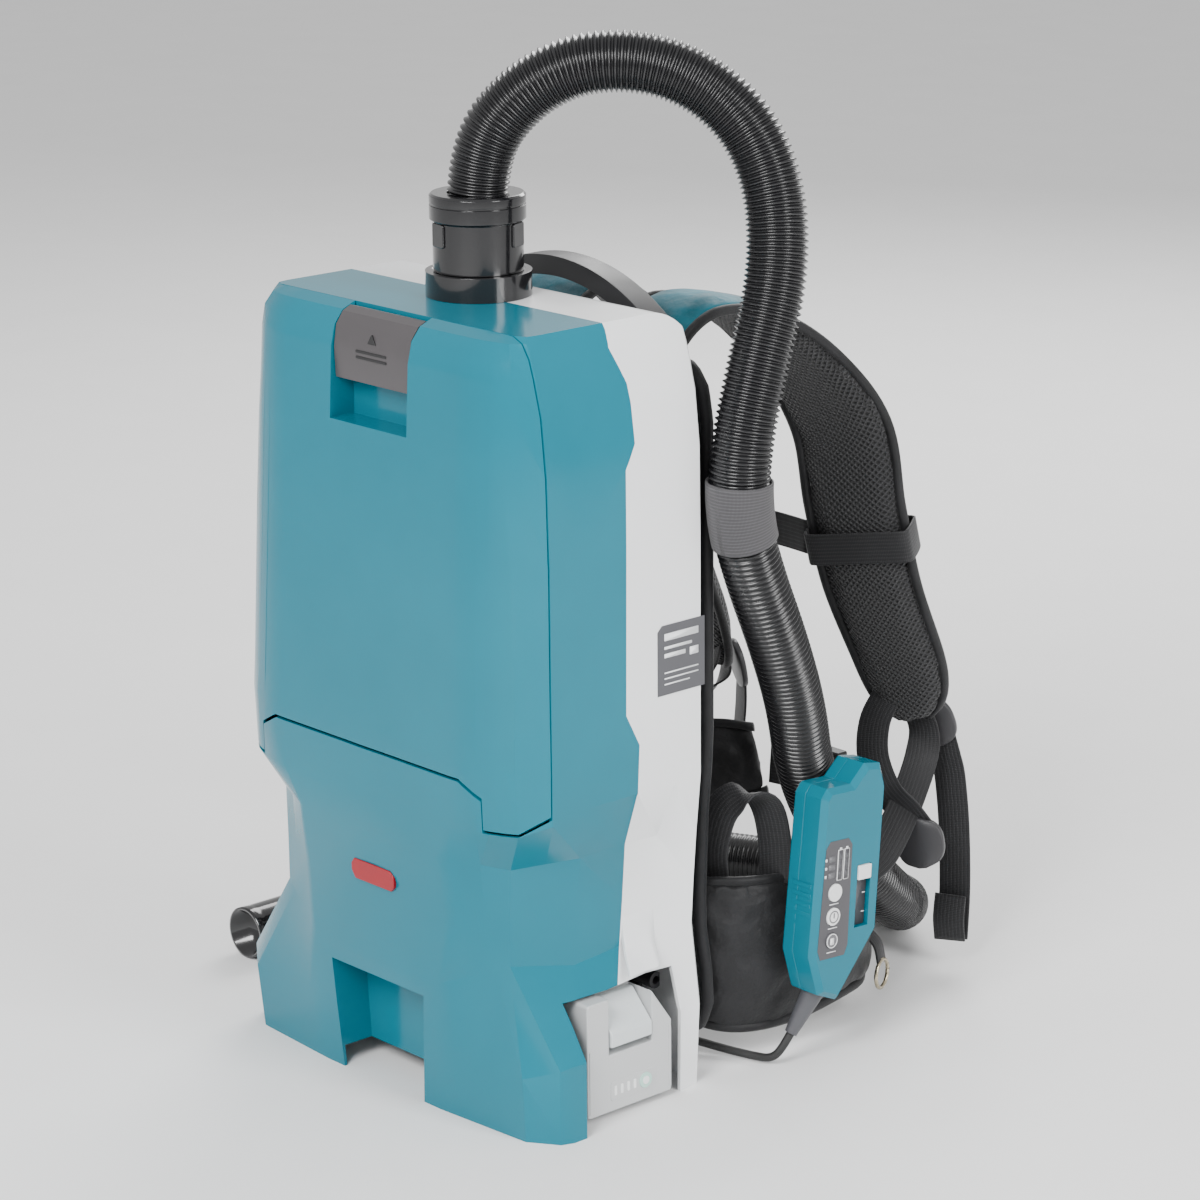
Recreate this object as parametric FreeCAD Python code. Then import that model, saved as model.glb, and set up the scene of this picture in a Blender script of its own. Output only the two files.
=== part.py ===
"""Backpack vacuum cleaner with harness, hose and control box.

Millimetres. +Z is up, the front with the lid faces -Y, and the harness is behind at +Y.
The origin is the centre of the body's underside, on the surface that it stands on.
"""
import FreeCAD, Part
import math
import os

V = FreeCAD.Vector

# ---------------------------------------------------------------- driving dimensions
BODY_HEIGHT = 550.0
BACK_Y = 80.0                    # rear plane of the rear housing
WALL = 3.0                       # housing wall
HALF_WIDTH = 154.5               # widest upper half width
SEAM_Y_TOP = 8.0                 # front and rear housings meet here on the top
LID_PLANE_Y = -60.5              # the lid's side edges lie in this plane
GAP = 0.8                        # gap round the lid
LID_FOOT_GAP = 2.2               # gap under the lid, wider so that it can swing
HINGE_Y, HINGE_Z = -86.9, 224.0  # lid hinge axis, along X
HINGE_X = 118.0                  # seam between the lid's foot and the housing, where the pins cross
LATCH_Y, LATCH_Z = -68.0, 541.0  # latch pivot axis, along X
LATCH_HALF = 39.5                # latch half width
INLET_Y = 14.0                   # inlet axis, along Z
RING_R, RING_TOP = 36.5, 567.0
CUFF_R, CUFF_TOP = 31.0, 620.0
HOSE_R, HOSE_WALL = 20.0, 2.5
HOSE_START_Z = 606.0
PIPE_LENGTH = 118.0              # smooth pipe at the hose's free end
CABLE_R = 3.0
BAY_Y0, BAY_Y1, BAY_TOP = -45.5, 56.0, 91.0
BATTERY_X0, BATTERY_X1 = 42.0, 155.0
BATTERY_Y0, BATTERY_Y1 = -33.0, 45.4
BATTERY_Z0, BATTERY_Z1 = 5.0, 88.0
MOTOR_Z0, MOTOR_Z1, MOTOR_R = 104.0, 168.0, 52.0
SHAFT_R = 4.0
PANEL_Y0, PANEL_Y1 = 80.4, 86.0  # harness back panel
PAD_Y0, PAD_Y1 = 89.0, 98.0      # back pad
BOX_X0, BOX_X1 = 164.0, 196.0    # control box
BOX_Y, BOX_Z, BOX_TILT = 183.0, 135.0, -4.0
KEY_X, KEY_Y0, KEY_Y1 = 131.8, -12.0, 26.0   # inner end and sides of a battery's release button
BUTTON_R = 6.5
PIN_R = 1.5                      # latch and hinge pins
SPRING_HALF = 10.0               # half the room of the latch spring
COLLAR_Z = 470.0                 # underside of the dust bag's collar
BEARING_R = 11.0
SCREW_R = 2.0
SCREW_PLACES = [(-95, 75), (95, 75), (-95, 280), (95, 280), (-95, 490), (95, 490)]
BAND_SPAN = (390.0, 434.0)       # height of the band that holds the hose
PAD_EDGE_X = 136.0               # the back pad's side edge at the band

# Routes of the hose and of the control box's cable, straight out of the cuff and of the relief.
HOSE_ROUTE = [(0, 14, 606), (0, 14, 648), (23, 34, 688), (55, 65, 710), (97, 104, 706), (133, 133, 675),
              (155, 143, 629), (167, 135, 571), (168, 114, 511), (168, 98, 455), (166, 99, 408),
              (163, 117, 363), (159, 144, 310), (150, 171, 256), (132, 197, 200), (119, 237, 142),
              (109, 292, 86), (84, 350, 44), (34, 406, 20), (-38, 410, 20), (-110, 390, 20), (-180, 350, 20),
              (-234, 290, 20), (-260, 218, 20), (-262, 160, 20), (-262, 110, 20)]
CABLE_ROUTE = [(172, 145, 24), (170.25, 140.25, 15.5), (163, 134, 5), (150, 131, 4), (128, 123, 5), (106, 112, 9),
               (90, 99, 12), (84, 80, 14)]

PARTS = {}


# ---------------------------------------------------------------- helpers
def box(x0, x1, y0, y1, z0, z1):
    return Part.makeBox(x1 - x0, y1 - y0, z1 - z0, V(x0, y0, z0))


def cylinder(radius, start, direction, length):
    return Part.makeCylinder(radius, length, V(*start), V(*direction))


def tube(outer, inner, start, direction, length):
    return cylinder(outer, start, direction, length).cut(cylinder(inner, start, direction, length))


def face(points):
    return Part.Face(Part.makePolygon([V(*p) for p in points] + [V(*points[0])]))


def prism_x(outline, x0, x1):
    """Outline of (y, z) points, extruded along X."""
    return face([(x0, y, z) for y, z in outline]).extrude(V(x1 - x0, 0, 0))


def prism_y(outline, y0, y1):
    """Outline of (x, z) points, extruded along Y."""
    return face([(x, y0, z) for x, z in outline]).extrude(V(0, y1 - y0, 0))


def prism_z(outline, z0, z1):
    """Outline of (x, y) points, extruded along Z."""
    return face([(x, y, z0) for x, y in outline]).extrude(V(0, 0, z1 - z0))


def mirrored(shape):
    return shape.mirror(V(0, 0, 0), V(1, 0, 0))


def both_sides(shape):
    return Part.makeCompound([shape, mirrored(shape)])


def fuse(shapes):
    return shapes[0].multiFuse(shapes[1:]).removeSplitter()


def polyhedron(faces):
    """Closed solid from lists of points, one list per flat face."""
    shell = Part.Shell([face(points) for points in faces])
    shell.sewShape()
    solid = Part.Solid(Part.Shell(shell.Faces))
    if solid.Volume < 0:
        solid.reverse()
    return solid


def strip(stations, thickness):
    """Strip with a rectangular section. A station is (centre, width, direction of the width)."""
    wires = []
    for i, (centre, width, width_direction) in enumerate(stations):
        here = V(*centre)
        before = V(*stations[max(i - 1, 0)][0])
        after = V(*stations[min(i + 1, len(stations) - 1)][0])
        tangent = after.sub(before).normalize()
        across = V(*width_direction)
        across = across.sub(tangent * across.dot(tangent)).normalize()
        half, depth = across * (width / 2), tangent.cross(across) * (thickness / 2)
        corners = [here - half - depth, here + half - depth, here + half + depth, here - half + depth]
        wires.append(Part.makePolygon(corners + [corners[0]]))
    return Part.makeLoft(wires, True, True)


def rounded_tube(points, radius, inner=0.0):
    """Round tube along straight runs joined by tangent arcs. Prints its length and smallest radius."""
    vectors = [V(*p) for p in points]
    edges, start, radii = [], vectors[0], []
    for before, corner, after in zip(vectors, vectors[1:], vectors[2:]):
        into, out = corner.sub(before), after.sub(corner)
        reach = 0.45 * min(into.Length, out.Length)
        half_turn = into.getAngle(out) / 2
        radii.append(reach / math.tan(half_turn))
        into.normalize()
        out.normalize()
        arc_start, arc_end = corner - into * reach, corner + out * reach
        middle_dir = (out - into).normalize()
        depth = radii[-1] / math.cos(half_turn) - radii[-1]
        edges.append(Part.LineSegment(start, arc_start).toShape())
        edges.append(Part.Arc(arc_start, corner + middle_dir * depth, arc_end).toShape())
        start = arc_end
    edges.append(Part.LineSegment(start, vectors[-1]).toShape())
    path = Part.Wire(edges)
    direction = vectors[1].sub(vectors[0])

    def swept(r):
        ring = Part.Wire(Part.Circle(vectors[0], direction, r).toShape())
        return path.makePipeShell([ring], True, False)

    solid = swept(radius)
    if inner:
        solid = solid.cut(swept(inner))
    section = math.pi * (radius ** 2 - inner ** 2)
    ratio = solid.Volume / section / path.Length
    print("tube length %.1f, volume / (section x length) %.4f" % (path.Length, ratio))
    print("radii", [round(r) for r in radii])
    return solid


def keep(name, shape):
    PARTS[name] = shape


# ---------------------------------------------------------------- body outline
# Each row runs from the front's centre round to the rear corner: front centre, where the flat front ends,
# the front corner, the lid's side edge, the side edge, the housing seam, the battery bay's rear edge and the
# rear corner.
CROWNED_ROWS = [
    [(0, -62, 550), (86, -62, 550), (121, -60.8, 550), (129.5, -57, 550),
     (130.7, -48, 550), (130.7, 3, 550), (130.7, 50, 550), (130.7, 80, 550)],
    [(0, -72, 546), (87, -72, 546), (124, -67, 546), (132, -59, 546),
     (133.5, -46, 546), (133.5, 4, 546), (133.5, 50, 546), (133.5, 80, 546)],
    [(0, -79.5, 537), (88, -79.5, 537), (129, -70.5, 537), (137, -60, 537),
     (138.2, -44, 537), (138.2, 6, 537), (138.2, 50, 537), (138.2, 80, 537)],
    [(0, -83.2, 522), (89, -83.2, 522), (131.5, -71.6, 522), (142, -60, 522),
     (143, -42, 522), (143, 11, 522), (143, 50, 522), (143, 80, 522)],
    [(0, -84.5, 498), (90, -84.5, 498), (133, -72.2, 498), (148, -60.5, 498),
     (149.5, -41.5, 498), (149.5, 16, 498), (149.5, 50, 498), (149.5, 80, 498)],
    [(0, -86.5, 460), (90, -86.5, 460), (135.5, -73.8, 460), (152, -60.5, 460),
     (153.8, -41, 460), (153.8, 10, 460), (153.8, 50, 460), (153.8, 80, 460)],
    [(0, -89.5, 400), (90, -89.5, 400), (137.5, -76.4, 400), (153.5, -60.5, 400),
     (154.5, -40.5, 400), (154.5, 6.5, 400), (154.5, 50, 400), (154.5, 80, 400)],
    [(0, -95, 286), (90, -95, 286), (140, -81, 286), (153.5, -60.5, 286),
     (154.5, -40, 286), (154.5, 5.5, 286), (154.5, 50, 286), (154.5, 80, 286)],
    [(0, -96.5, 262), (90, -96.5, 262), (141, -82, 262), (153.5, -60.5, 262),
     (154.5, -34, 262), (154.5, 17, 262), (154.5, 50, 262), (154.5, 80, 262)],
    [(0, -97, 217), (90, -96, 217), (141, -80, 217), (153.5, -60, 223),
     (154.5, -34.5, 229), (154.5, 15.5, 229), (154.5, 50, 229), (154.5, 80, 229)],
]
FACETED_ROWS = [
    [(0, -97, 195), (72, -95, 190), (122, -71, 187), (129, -46, 187),
     (136, -21, 187), (133.5, 22.5, 186), (136, 50, 186), (150, 80, 186)],
    [(0, -88.5, 160), (73.8, -88.1, 147), (121, -71.2, 152), (127.5, -47, 151),
     (134, -23, 150), (133, 20, 146), (135, 50, 146), (147, 80, 150)],
    [(0, -90.4, 95.5), (66.5, -90.4, 95.5), (120.5, -71.5, 118), (127, -48, 114),
     (133, -25, 110), (133, 17, 113), (138, 50, 110), (145, 80, 118)],
    [(0, -88.5, 48), (64, -88.5, 48), (146, -84, 47.5), (167, -68.5, 54.5),
     (168, -59, 55.5), (168, -45.5, 55), (153, 58, 60), (153, 80, 60)],
    [(0, -86, 0), (62, -86, 0), (144, -80, 0), (164.5, -66, 0),
     (168, -57, 0), (168, -46, 0), (152, 59, 0), (150, 80, 0)],
]
CROWN_STEPS = 5                # steps between the flat front's end and the front corner
CROWN_PULL = 0.6               # how far out the crown's flat tangent reaches
REAR_CHAMFER = 6.0             # across the rear vertical edges


def crowned(row, is_crowned):
    """The row with the stretch between its second and third points filled by a quadratic curve."""
    start, end = V(*row[1]), V(*row[2])
    middle = (start + end) * 0.5
    if is_crowned:
        middle = V(start.x + CROWN_PULL * (end.x - start.x), start.y, (start.z + end.z) / 2)
    filled = [V(*row[0]), start]
    for step in range(1, CROWN_STEPS):
        t = step / CROWN_STEPS
        filled.append(start * (1 - t) ** 2 + middle * (2 * t * (1 - t)) + end * t ** 2)
    rear = V(*row[-1])
    corner = [V(rear.x, rear.y - REAR_CHAMFER, rear.z), V(rear.x - REAR_CHAMFER, rear.y, rear.z)]
    return filled + [end] + [V(*p) for p in row[3:-1]] + corner


def inset(row, distance):
    """The row moved inwards, seen from above."""
    moved = []
    for i, point in enumerate(row):
        before = row[i - 1] if i else V(-row[1].x, row[1].y, row[1].z)
        after = row[i + 1] if i + 1 < len(row) else V(point.x - 10, point.y, point.z)
        first = V(point.x - before.x, point.y - before.y, 0).normalize()
        second = V(after.x - point.x, after.y - point.y, 0).normalize()
        normal = V(-first.y - second.y, first.x + second.x, 0).normalize()
        stretch = 1 / max(normal.dot(V(-first.y, first.x, 0)), 0.5)
        moved.append(point + normal * (distance * stretch))
    moved[0].x = 0
    return moved


def outline_solid(distance, top_cut, bottom_drop):
    """The body's outline as a solid, moved inwards, lowered at its top and lengthened at its foot."""
    rows = [crowned(row, True) for row in CROWNED_ROWS] + [crowned(row, False) for row in FACETED_ROWS]
    if distance:
        rows = [inset(row, distance) for row in rows]
    for point in rows[0]:
        point.z -= top_cut
    for point in rows[-1]:
        point.z -= bottom_drop
    faces = []
    for upper, lower in zip(rows, rows[1:]):
        for i in range(len(upper) - 1):
            for triangle in ([upper[i], upper[i + 1], lower[i + 1]], [upper[i], lower[i + 1], lower[i]]):
                faces.append([(p.x, p.y, p.z) for p in triangle])
                faces.append([(-p.x, p.y, p.z) for p in triangle])
    for row in (rows[0], rows[-1]):
        half = [(p.x, p.y, p.z) for p in row]
        faces.append(half + [(-x, y, z) for x, y, z in reversed(half[1:])])
    back = [(row[-1].x, row[-1].y, row[-1].z) for row in rows]
    faces.append(back + [(-x, y, z) for x, y, z in reversed(back)])
    return polyhedron(faces)


# ---------------------------------------------------------------- housings and lid
SEAM = [(SEAM_Y_TOP, 551), (SEAM_Y_TOP, 546), (6, 535), (15.5, 511), (16.5, 471), (7, 455), (5.4, 286),
        (17.3, 263), (15.5, 227), (22.5, 186), (20, 146), (17, 113), (-2, 80), (-45.5, 58), (-45.5, -1)]
LID_FOOT = [(153.6, 228), (141, 217), (118, 217.5), (117.5, 239.5), (98.3, 249.6)]
NOTCH = [(-44, -1), (44, -1), (50.4, 81.6), (-50.4, 81.6)]
NOTCH_WALL = [(-47, 15), (47, 15), (53.4, 84.6), (-53.4, 84.6)]
NOTCH_BACK_Y = -60.0
POCKET_X, POCKET_Z, POCKET_Y = 40.5, 473.0, -64.5


def lid_region(gap):
    """Space of the lid, drawn in by the gap."""
    lift = LID_FOOT_GAP if gap else 0
    side = 153.5 - gap / 2
    foot = [(x + (gap if x < 119 else 0), z + lift) for x, z in LID_FOOT[1:]]
    right = [(side, 560), (side, 228 + lift)] + foot
    left = [(-x, z) for x, z in reversed(right)]
    return prism_y(right + left, -130, LID_PLANE_Y - gap)


def side_profile(radius, drop):
    """The whole body's side view, with its rounded upper rear corner."""
    top = BODY_HEIGHT - drop
    corner = V(0, BACK_Y - drop - radius, top - radius)
    middle = radius * math.sqrt(0.5)
    arc = Part.Arc(corner + V(0, 0, radius), corner + V(0, middle, middle), corner + V(0, radius, 0))
    points = [corner + V(0, radius, 0), V(0, BACK_Y - drop, -20), V(0, -140, -20), V(0, -140, top),
              corner + V(0, 0, radius)]
    edges = [arc.toShape()] + [Part.LineSegment(a, b).toShape() for a, b in zip(points, points[1:])]
    profile = Part.Face(Part.Wire(Part.sortEdges(edges)[0]))
    profile.translate(V(-200, 0, 0))
    return profile.extrude(V(400, 0, 0))


def make_housings():
    """Front housing, rear housing and lid: one hollow outline, parted along the seams."""
    outer = outline_solid(0, 0, 0).common(side_profile(28, 0))
    inner = outline_solid(WALL, WALL, 20).common(side_profile(26, WALL))
    shell = outer.cut(inner)
    front_room = prism_x([(-140, 560), (SEAM_Y_TOP, 560)] + SEAM + [(-140, -1)], -200, 200)
    bay = both_sides(box(32, 200, BAY_Y0, BAY_Y1, -1, BAY_TOP))
    inlet_hole = cylinder(HOSE_R + 1, (0, INLET_Y, 500), (0, 0, 1), 100)
    cable_hole = cylinder(CABLE_R + 0.4, (CABLE_ROUTE[-1][0], 70, CABLE_ROUTE[-1][2]), (0, 1, 0), 20)
    rear = shell.cut(front_room).cut(bay).cut(inlet_hole).cut(cable_hole)
    for x, z in SCREW_PLACES:
        rear = rear.cut(cylinder(SCREW_R + 0.1, (x, 70, z), (0, 1, 0), 20))

    front = shell.common(front_room)
    notch_wall = prism_y(NOTCH_WALL, -120, NOTCH_BACK_Y + WALL).common(outer)
    front = front.fuse(notch_wall).cut(prism_y(NOTCH, -120, NOTCH_BACK_Y)).cut(bay).cut(inlet_hole)
    pocket_wall = box(-POCKET_X - WALL, POCKET_X + WALL, -100, LID_PLANE_Y - GAP, POCKET_Z - WALL, 549)
    lid = front.common(lid_region(GAP)).fuse(pocket_wall.common(outer).common(lid_region(GAP)))
    lid = lid.cut(box(-POCKET_X, POCKET_X, -100, POCKET_Y, POCKET_Z, 560))
    lid = lid.cut(box(-POCKET_X, POCKET_X, POCKET_Y - 1, -60, 531, 560))
    lid = lid.cut(cylinder(PIN_R, (-60, LATCH_Y, LATCH_Z), (1, 0, 0), 120))
    front = front.cut(lid_region(0))

    # Hinge: a boss on each side of each foot seam, with a pin across.
    lid_boss = cylinder(3.4, (HINGE_X + GAP, HINGE_Y, HINGE_Z), (1, 0, 0), 11)
    front_boss = cylinder(3.4, (HINGE_X - 10, HINGE_Y, HINGE_Z), (1, 0, 0), 9.5)
    pin_hole = both_sides(cylinder(PIN_R + 0.05, (HINGE_X - 8, HINGE_Y, HINGE_Z), (1, 0, 0), 15))
    lid = fuse([lid, lid_boss.common(outer), mirrored(lid_boss.common(outer))]).cut(pin_hole)
    front = fuse([front, front_boss.common(outer), mirrored(front_boss.common(outer))]).cut(pin_hole)
    pin = cylinder(PIN_R, (HINGE_X - 8, HINGE_Y, HINGE_Z), (1, 0, 0), 15)
    keep("front_housing", front)
    keep("rear_housing", rear)
    keep("lid", lid)
    keep("lid_hinge_pins", both_sides(pin))


def make_latch():
    """Finger latch at the lid's top edge, on a pin through the pocket's walls, with a torsion spring."""
    plate = [(-80.5, 501), (-76, 501), (-73, 524), (-69, 532), (-62.6, 538), (-62.6, 547.5), (-66.5, 548.3),
             (-73, 545.3), (-79, 537), (-81.5, 522)]
    latch = prism_x(plate, -LATCH_HALF, LATCH_HALF)
    latch = latch.cut(cylinder(PIN_R + 0.05, (-60, LATCH_Y, LATCH_Z), (1, 0, 0), 120))
    spring_room = [(-73, 534), (-60, 534), (-60, 546.4), (-73, 544)]
    latch = latch.cut(prism_x(spring_room, -SPRING_HALF - 1, SPRING_HALF + 1))
    helix = Part.makeHelix(1.6, 2 * SPRING_HALF - 2, 2.6)
    start = V(2.6, 0, 0)
    ring = Part.Wire(Part.Circle(start, V(0, 1, 0), 0.5).toShape())
    spring = Part.Wire(helix.Edges).makePipeShell([ring], True, True)
    spring.rotate(V(0, 0, 0), V(0, 1, 0), 90)
    spring.translate(V(-SPRING_HALF + 1, LATCH_Y, LATCH_Z))
    keep("lid_latch", latch)
    keep("latch_pin", cylinder(PIN_R, (-POCKET_X - 2, LATCH_Y, LATCH_Z), (1, 0, 0), 2 * POCKET_X + 4))
    keep("latch_spring", spring)


# ---------------------------------------------------------------- inside the body
def make_inlet():
    axis = (0, 0, 1)
    ring = tube(RING_R, HOSE_R + 0.2, (0, INLET_Y, BODY_HEIGHT), axis, RING_TOP - BODY_HEIGHT - 0.4)
    rim = tube(RING_R, CUFF_R + 1.2, (0, INLET_Y, RING_TOP - 4), axis, 4)
    cuff = cylinder(CUFF_R, (0, INLET_Y, RING_TOP + 0.2), axis, CUFF_TOP - RING_TOP - 19)
    bead = cylinder(CUFF_R + 2, (0, INLET_Y, CUFF_TOP - 19), axis, 19)
    bead = bead.makeChamfer(1.5, [e for e in bead.Edges if isinstance(e.Curve, Part.Circle)])
    groove = tube(CUFF_R + 5, CUFF_R + 1, (0, INLET_Y, CUFF_TOP - 8), axis, 1.6)
    bore = cylinder(HOSE_R + 0.8, (0, INLET_Y, 500), axis, 200)
    keep("inlet_ring", ring.fuse(rim))
    keep("hose_cuff", cuff.fuse(bead).cut(groove).cut(bore))
    keep("inlet_pipe", tube(HOSE_R, HOSE_R - HOSE_WALL, (0, INLET_Y, COLLAR_Z + 4), axis,
                            HOSE_START_Z - COLLAR_Z - 4))


def make_bag_chamber():
    outer = box(-132, 132, -56, 40, 208, 528)
    tub = outer.cut(box(-129.5, 129.5, -57, 37.5, 210.5, 525.5))
    tub = tub.cut(cylinder(HOSE_R + 1, (0, INLET_Y, 500), (0, 0, 1), 60))
    tub = tub.cut(box(-80, 80, -40, 22, 200, 215))
    gasket = box(-134, 134, -59.5, -56.2, 206, 530).cut(box(-130, 130, -60, -56, 210, 526))
    collar = box(-60, 60, -30, 36, COLLAR_Z, COLLAR_Z + 4)
    collar = collar.cut(cylinder(HOSE_R - HOSE_WALL, (0, INLET_Y, COLLAR_Z - 1), (0, 0, 1), 6))
    bag = box(-108, 108, -50, 34, 232, COLLAR_Z - 0.2)
    bag = bag.makeFillet(22, [e for e in bag.Edges if abs(e.tangentAt(e.FirstParameter).z) > 0.9])
    hollow = box(-106.5, 106.5, -48.5, 32.5, 233.5, COLLAR_Z - 1.7)
    hollow = hollow.makeFillet(20, [e for e in hollow.Edges if abs(e.tangentAt(e.FirstParameter).z) > 0.9])
    keep("bag_chamber", tub)
    keep("lid_gasket", gasket)
    keep("bag_collar", collar)
    keep("dust_bag", bag.cut(hollow).cut(cylinder(HOSE_R - HOSE_WALL, (0, INLET_Y, 440), (0, 0, 1), 60)))
    keep("hepa_filter", box(-96, 96, -55, 45, 177, 205))


def make_motor():
    up = (0, 0, 1)
    inside = MOTOR_R - 2.5
    case = tube(MOTOR_R, inside, (0, 0, MOTOR_Z0), up, MOTOR_Z1 - MOTOR_Z0 + 4)
    foot = tube(MOTOR_R, BEARING_R, (0, 0, MOTOR_Z0 - 3), up, 6)
    bridge = tube(inside, BEARING_R, (0, 0, 141), up, 5)
    impeller = tube(45, SHAFT_R, (0, 0, 149), up, 2).fuse(tube(10, SHAFT_R, (0, 0, 149), up, 16))
    blade = prism_z([(8, -0.8), (26, 2.2), (44, 12), (43, 13.5), (25, 4), (8, 0.8)], 150, 164)
    blades = []
    for i in range(9):
        turned = blade.copy()
        turned.rotate(V(0, 0, 0), V(0, 0, 1), i * 40)
        blades.append(turned)
    bearings = [tube(BEARING_R, SHAFT_R + 0.05, (0, 0, z), up, 5) for z in (MOTOR_Z0 - 3, 141)]
    mount = tube(MOTOR_R - 4, MOTOR_R - 14, (0, 0, MOTOR_Z0 - 7), up, 4)
    top_mount = tube(MOTOR_R - 0.5, MOTOR_R - 8, (0, 0, MOTOR_Z1 + 4), up, 4)
    keep("motor_housing", fuse([case, foot, bridge]))
    keep("motor_stator", tube(inside, 24, (0, 0, 108), up, 28))
    keep("motor_rotor", tube(22.5, SHAFT_R, (0, 0, 110), up, 24))
    keep("motor_shaft", cylinder(SHAFT_R, (0, 0, MOTOR_Z0 - 2.5), up, 64))
    keep("motor_bearings", Part.makeCompound(bearings))
    keep("impeller", fuse([impeller] + blades))
    keep("motor_mounts", Part.makeCompound([mount, top_mount]))
    keep("controller_board", box(-58, 58, 63, 64.6, 106, 172).fuse(box(-30, 30, 64.6, 72, 116, 160)))


def make_batteries():
    profile = [(BATTERY_Y0, BATTERY_Z0), (BATTERY_Y1, BATTERY_Z0), (BATTERY_Y1, 58), (24, BATTERY_Z1),
               (BATTERY_Y0, BATTERY_Z1)]
    case = prism_x(profile, BATTERY_X0, BATTERY_X1)
    long_edges = [e for e in case.Edges if abs(e.tangentAt(e.FirstParameter).x) > 0.9]
    case = case.makeFillet(2.5, long_edges)
    case = case.cut(box(KEY_X - GAP, 170, KEY_Y0 - GAP, KEY_Y1 + GAP, 47, 100))
    button = prism_y([(KEY_X, 52), (156.5, 52), (156.5, 62), (154, 65), (137, 83), (KEY_X, 83)], KEY_Y0, KEY_Y1)
    keep("battery_right", case)
    keep("battery_left", mirrored(case))
    keep("battery_button_right", button)
    keep("battery_button_left", mirrored(button))

    roof = box(36, 126, BAY_Y0 + 1.5, 54, 91.5, 94.5)
    stop = box(36, 39, BAY_Y0 + 1.5, 54, 8, 94.5)
    bracket = box(36, 116, 51, 54, 26, 94.5)
    boss = tube(6, 3, (110, 50.5, 79), (1, 0, 0), 24).cut(box(100, 140, 54, 60, 70, 90))
    contacts = box(39, 41.5, -14, 26, 30, 74)
    dock = fuse([roof, stop, bracket, boss, contacts])
    keep("battery_docks", both_sides(dock))


def make_base():
    plate = box(-35.5, 35.5, -12, 76.5, 0, 4)
    webs = both_sides(box(32.5, 35.5, -12, 54, 4, 94.5))
    deck = box(-35.5, 35.5, -12, 54, 94.5, 97)
    keep("base_plate", fuse([plate, deck] + webs.Solids))


# ---------------------------------------------------------------- outside fittings
def make_fittings():
    plate = [(34, 293), (77.5, 293), (77.5, 342), (38, 342), (34, 338)]
    keep("rating_plate", prism_x(plate, HALF_WIDTH, HALF_WIDTH + 0.5))
    badge = [(-24, 155), (-20, 149.5), (19, 149.5), (22, 153), (22, 160), (18, 164), (-21, 164), (-24, 160)]
    keep("front_badge", prism_y(badge, -91, -88).cut(PARTS["front_housing"]))
    span, rise, depth = 97.0, 33.0, 14.0
    foot_z = 534.0

    def arch(shrink):
        radius = (span ** 2 + rise ** 2) / (2 * rise) - shrink
        return cylinder(radius, (0, 81.5, foot_z + rise - radius - shrink), (0, 1, 0), 20)
    handle = arch(0).cut(arch(depth)).common(box(-span, span, 80, 110, foot_z, 600))
    feet = both_sides(box(span - 16, span, 86.2, 101.5, 512, foot_z + 2))
    keep("carry_handle", fuse([handle] + feet.Solids))
    holes = [cylinder(SCREW_R + 0.1, (x, 75, z), (0, 1, 0), 20) for x, z in SCREW_PLACES]
    panel = [(-118, 40), (118, 40), (126, 60), (120, 140), (126, 250), (126, 500), (112, 532), (-112, 532),
             (-126, 500), (-126, 250), (-120, 140), (-126, 60)]
    back_panel = prism_y(panel, PANEL_Y0, PANEL_Y1 - 1)
    for hole in holes:
        back_panel = back_panel.cut(hole)
    keep("back_panel", back_panel)
    screws = [cylinder(SCREW_R, (x, 72, z), (0, 1, 0), PANEL_Y1 - 73).fuse(
        cylinder(4.2, (x, PANEL_Y1 - 1, z), (0, 1, 0), 1.6)) for x, z in SCREW_PLACES]
    keep("housing_screws", Part.makeCompound(screws))


# ---------------------------------------------------------------- harness
ALONG_Z, ALONG_X = (0, 0, 1), (1, 0, 0)
CHEST = (0.89, 0.455, 0)         # the shoulder pads' width where they come down in front of the chest
SLANT = (0.585, 0.496, -0.351)   # the lower webbing's width
PAD_OUTLINE = [(-128, 24), (128, 24), (136, 40), (136, 70), (128, 125), (131, 190), (136, 240), (136, 480),
               (126, 508), (-126, 508), (-136, 480), (-136, 240), (-131, 190), (-128, 125), (-136, 70), (-136, 40)]
SHOULDER_THICK = 18.0
SHOULDER = [((60, 108, 446), 68, ALONG_X), ((60, 108, 484), 70, ALONG_X), ((58, 118, 514), 72, ALONG_X),
            ((60, 150, 532), 75, ALONG_X), ((66, 195, 521), 75, (1, 0.15, 0)), ((78, 240, 484), 75, (1, 0.32, 0)),
            ((90, 275, 430), 75, CHEST), ((95, 285, 370), 75, CHEST), ((98, 300, 310), 74, CHEST),
            ((101, 328, 245), 70, CHEST), ((103, 344, 200), 56, CHEST)]
BELT_THICK = 14.0
BELT_RIGHT = [((96, 106.5, 74), 96, ALONG_Z), ((120, 110, 74), 104, ALONG_Z), ((139, 130, 72), 108, ALONG_Z),
              ((148, 166, 70), 106, ALONG_Z), ((149, 208, 66), 92, ALONG_Z), ((142, 244, 56), 66, ALONG_Z),
              ((126, 266, 47), 44, ALONG_Z)]
BELT_LEFT = [((-96, 106.5, 74), 96, ALONG_Z), ((-120, 110, 74), 104, ALONG_Z), ((-141, 134, 76), 108, ALONG_Z),
             ((-152, 182, 82), 104, ALONG_Z), ((-147, 236, 92), 96, ALONG_Z), ((-124, 290, 106), 88, ALONG_Z),
             ((-93, 328, 118), 78, ALONG_Z), ((-64, 348, 126), 58, ALONG_Z)]
WEBBING_THICK = 2.2


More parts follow.
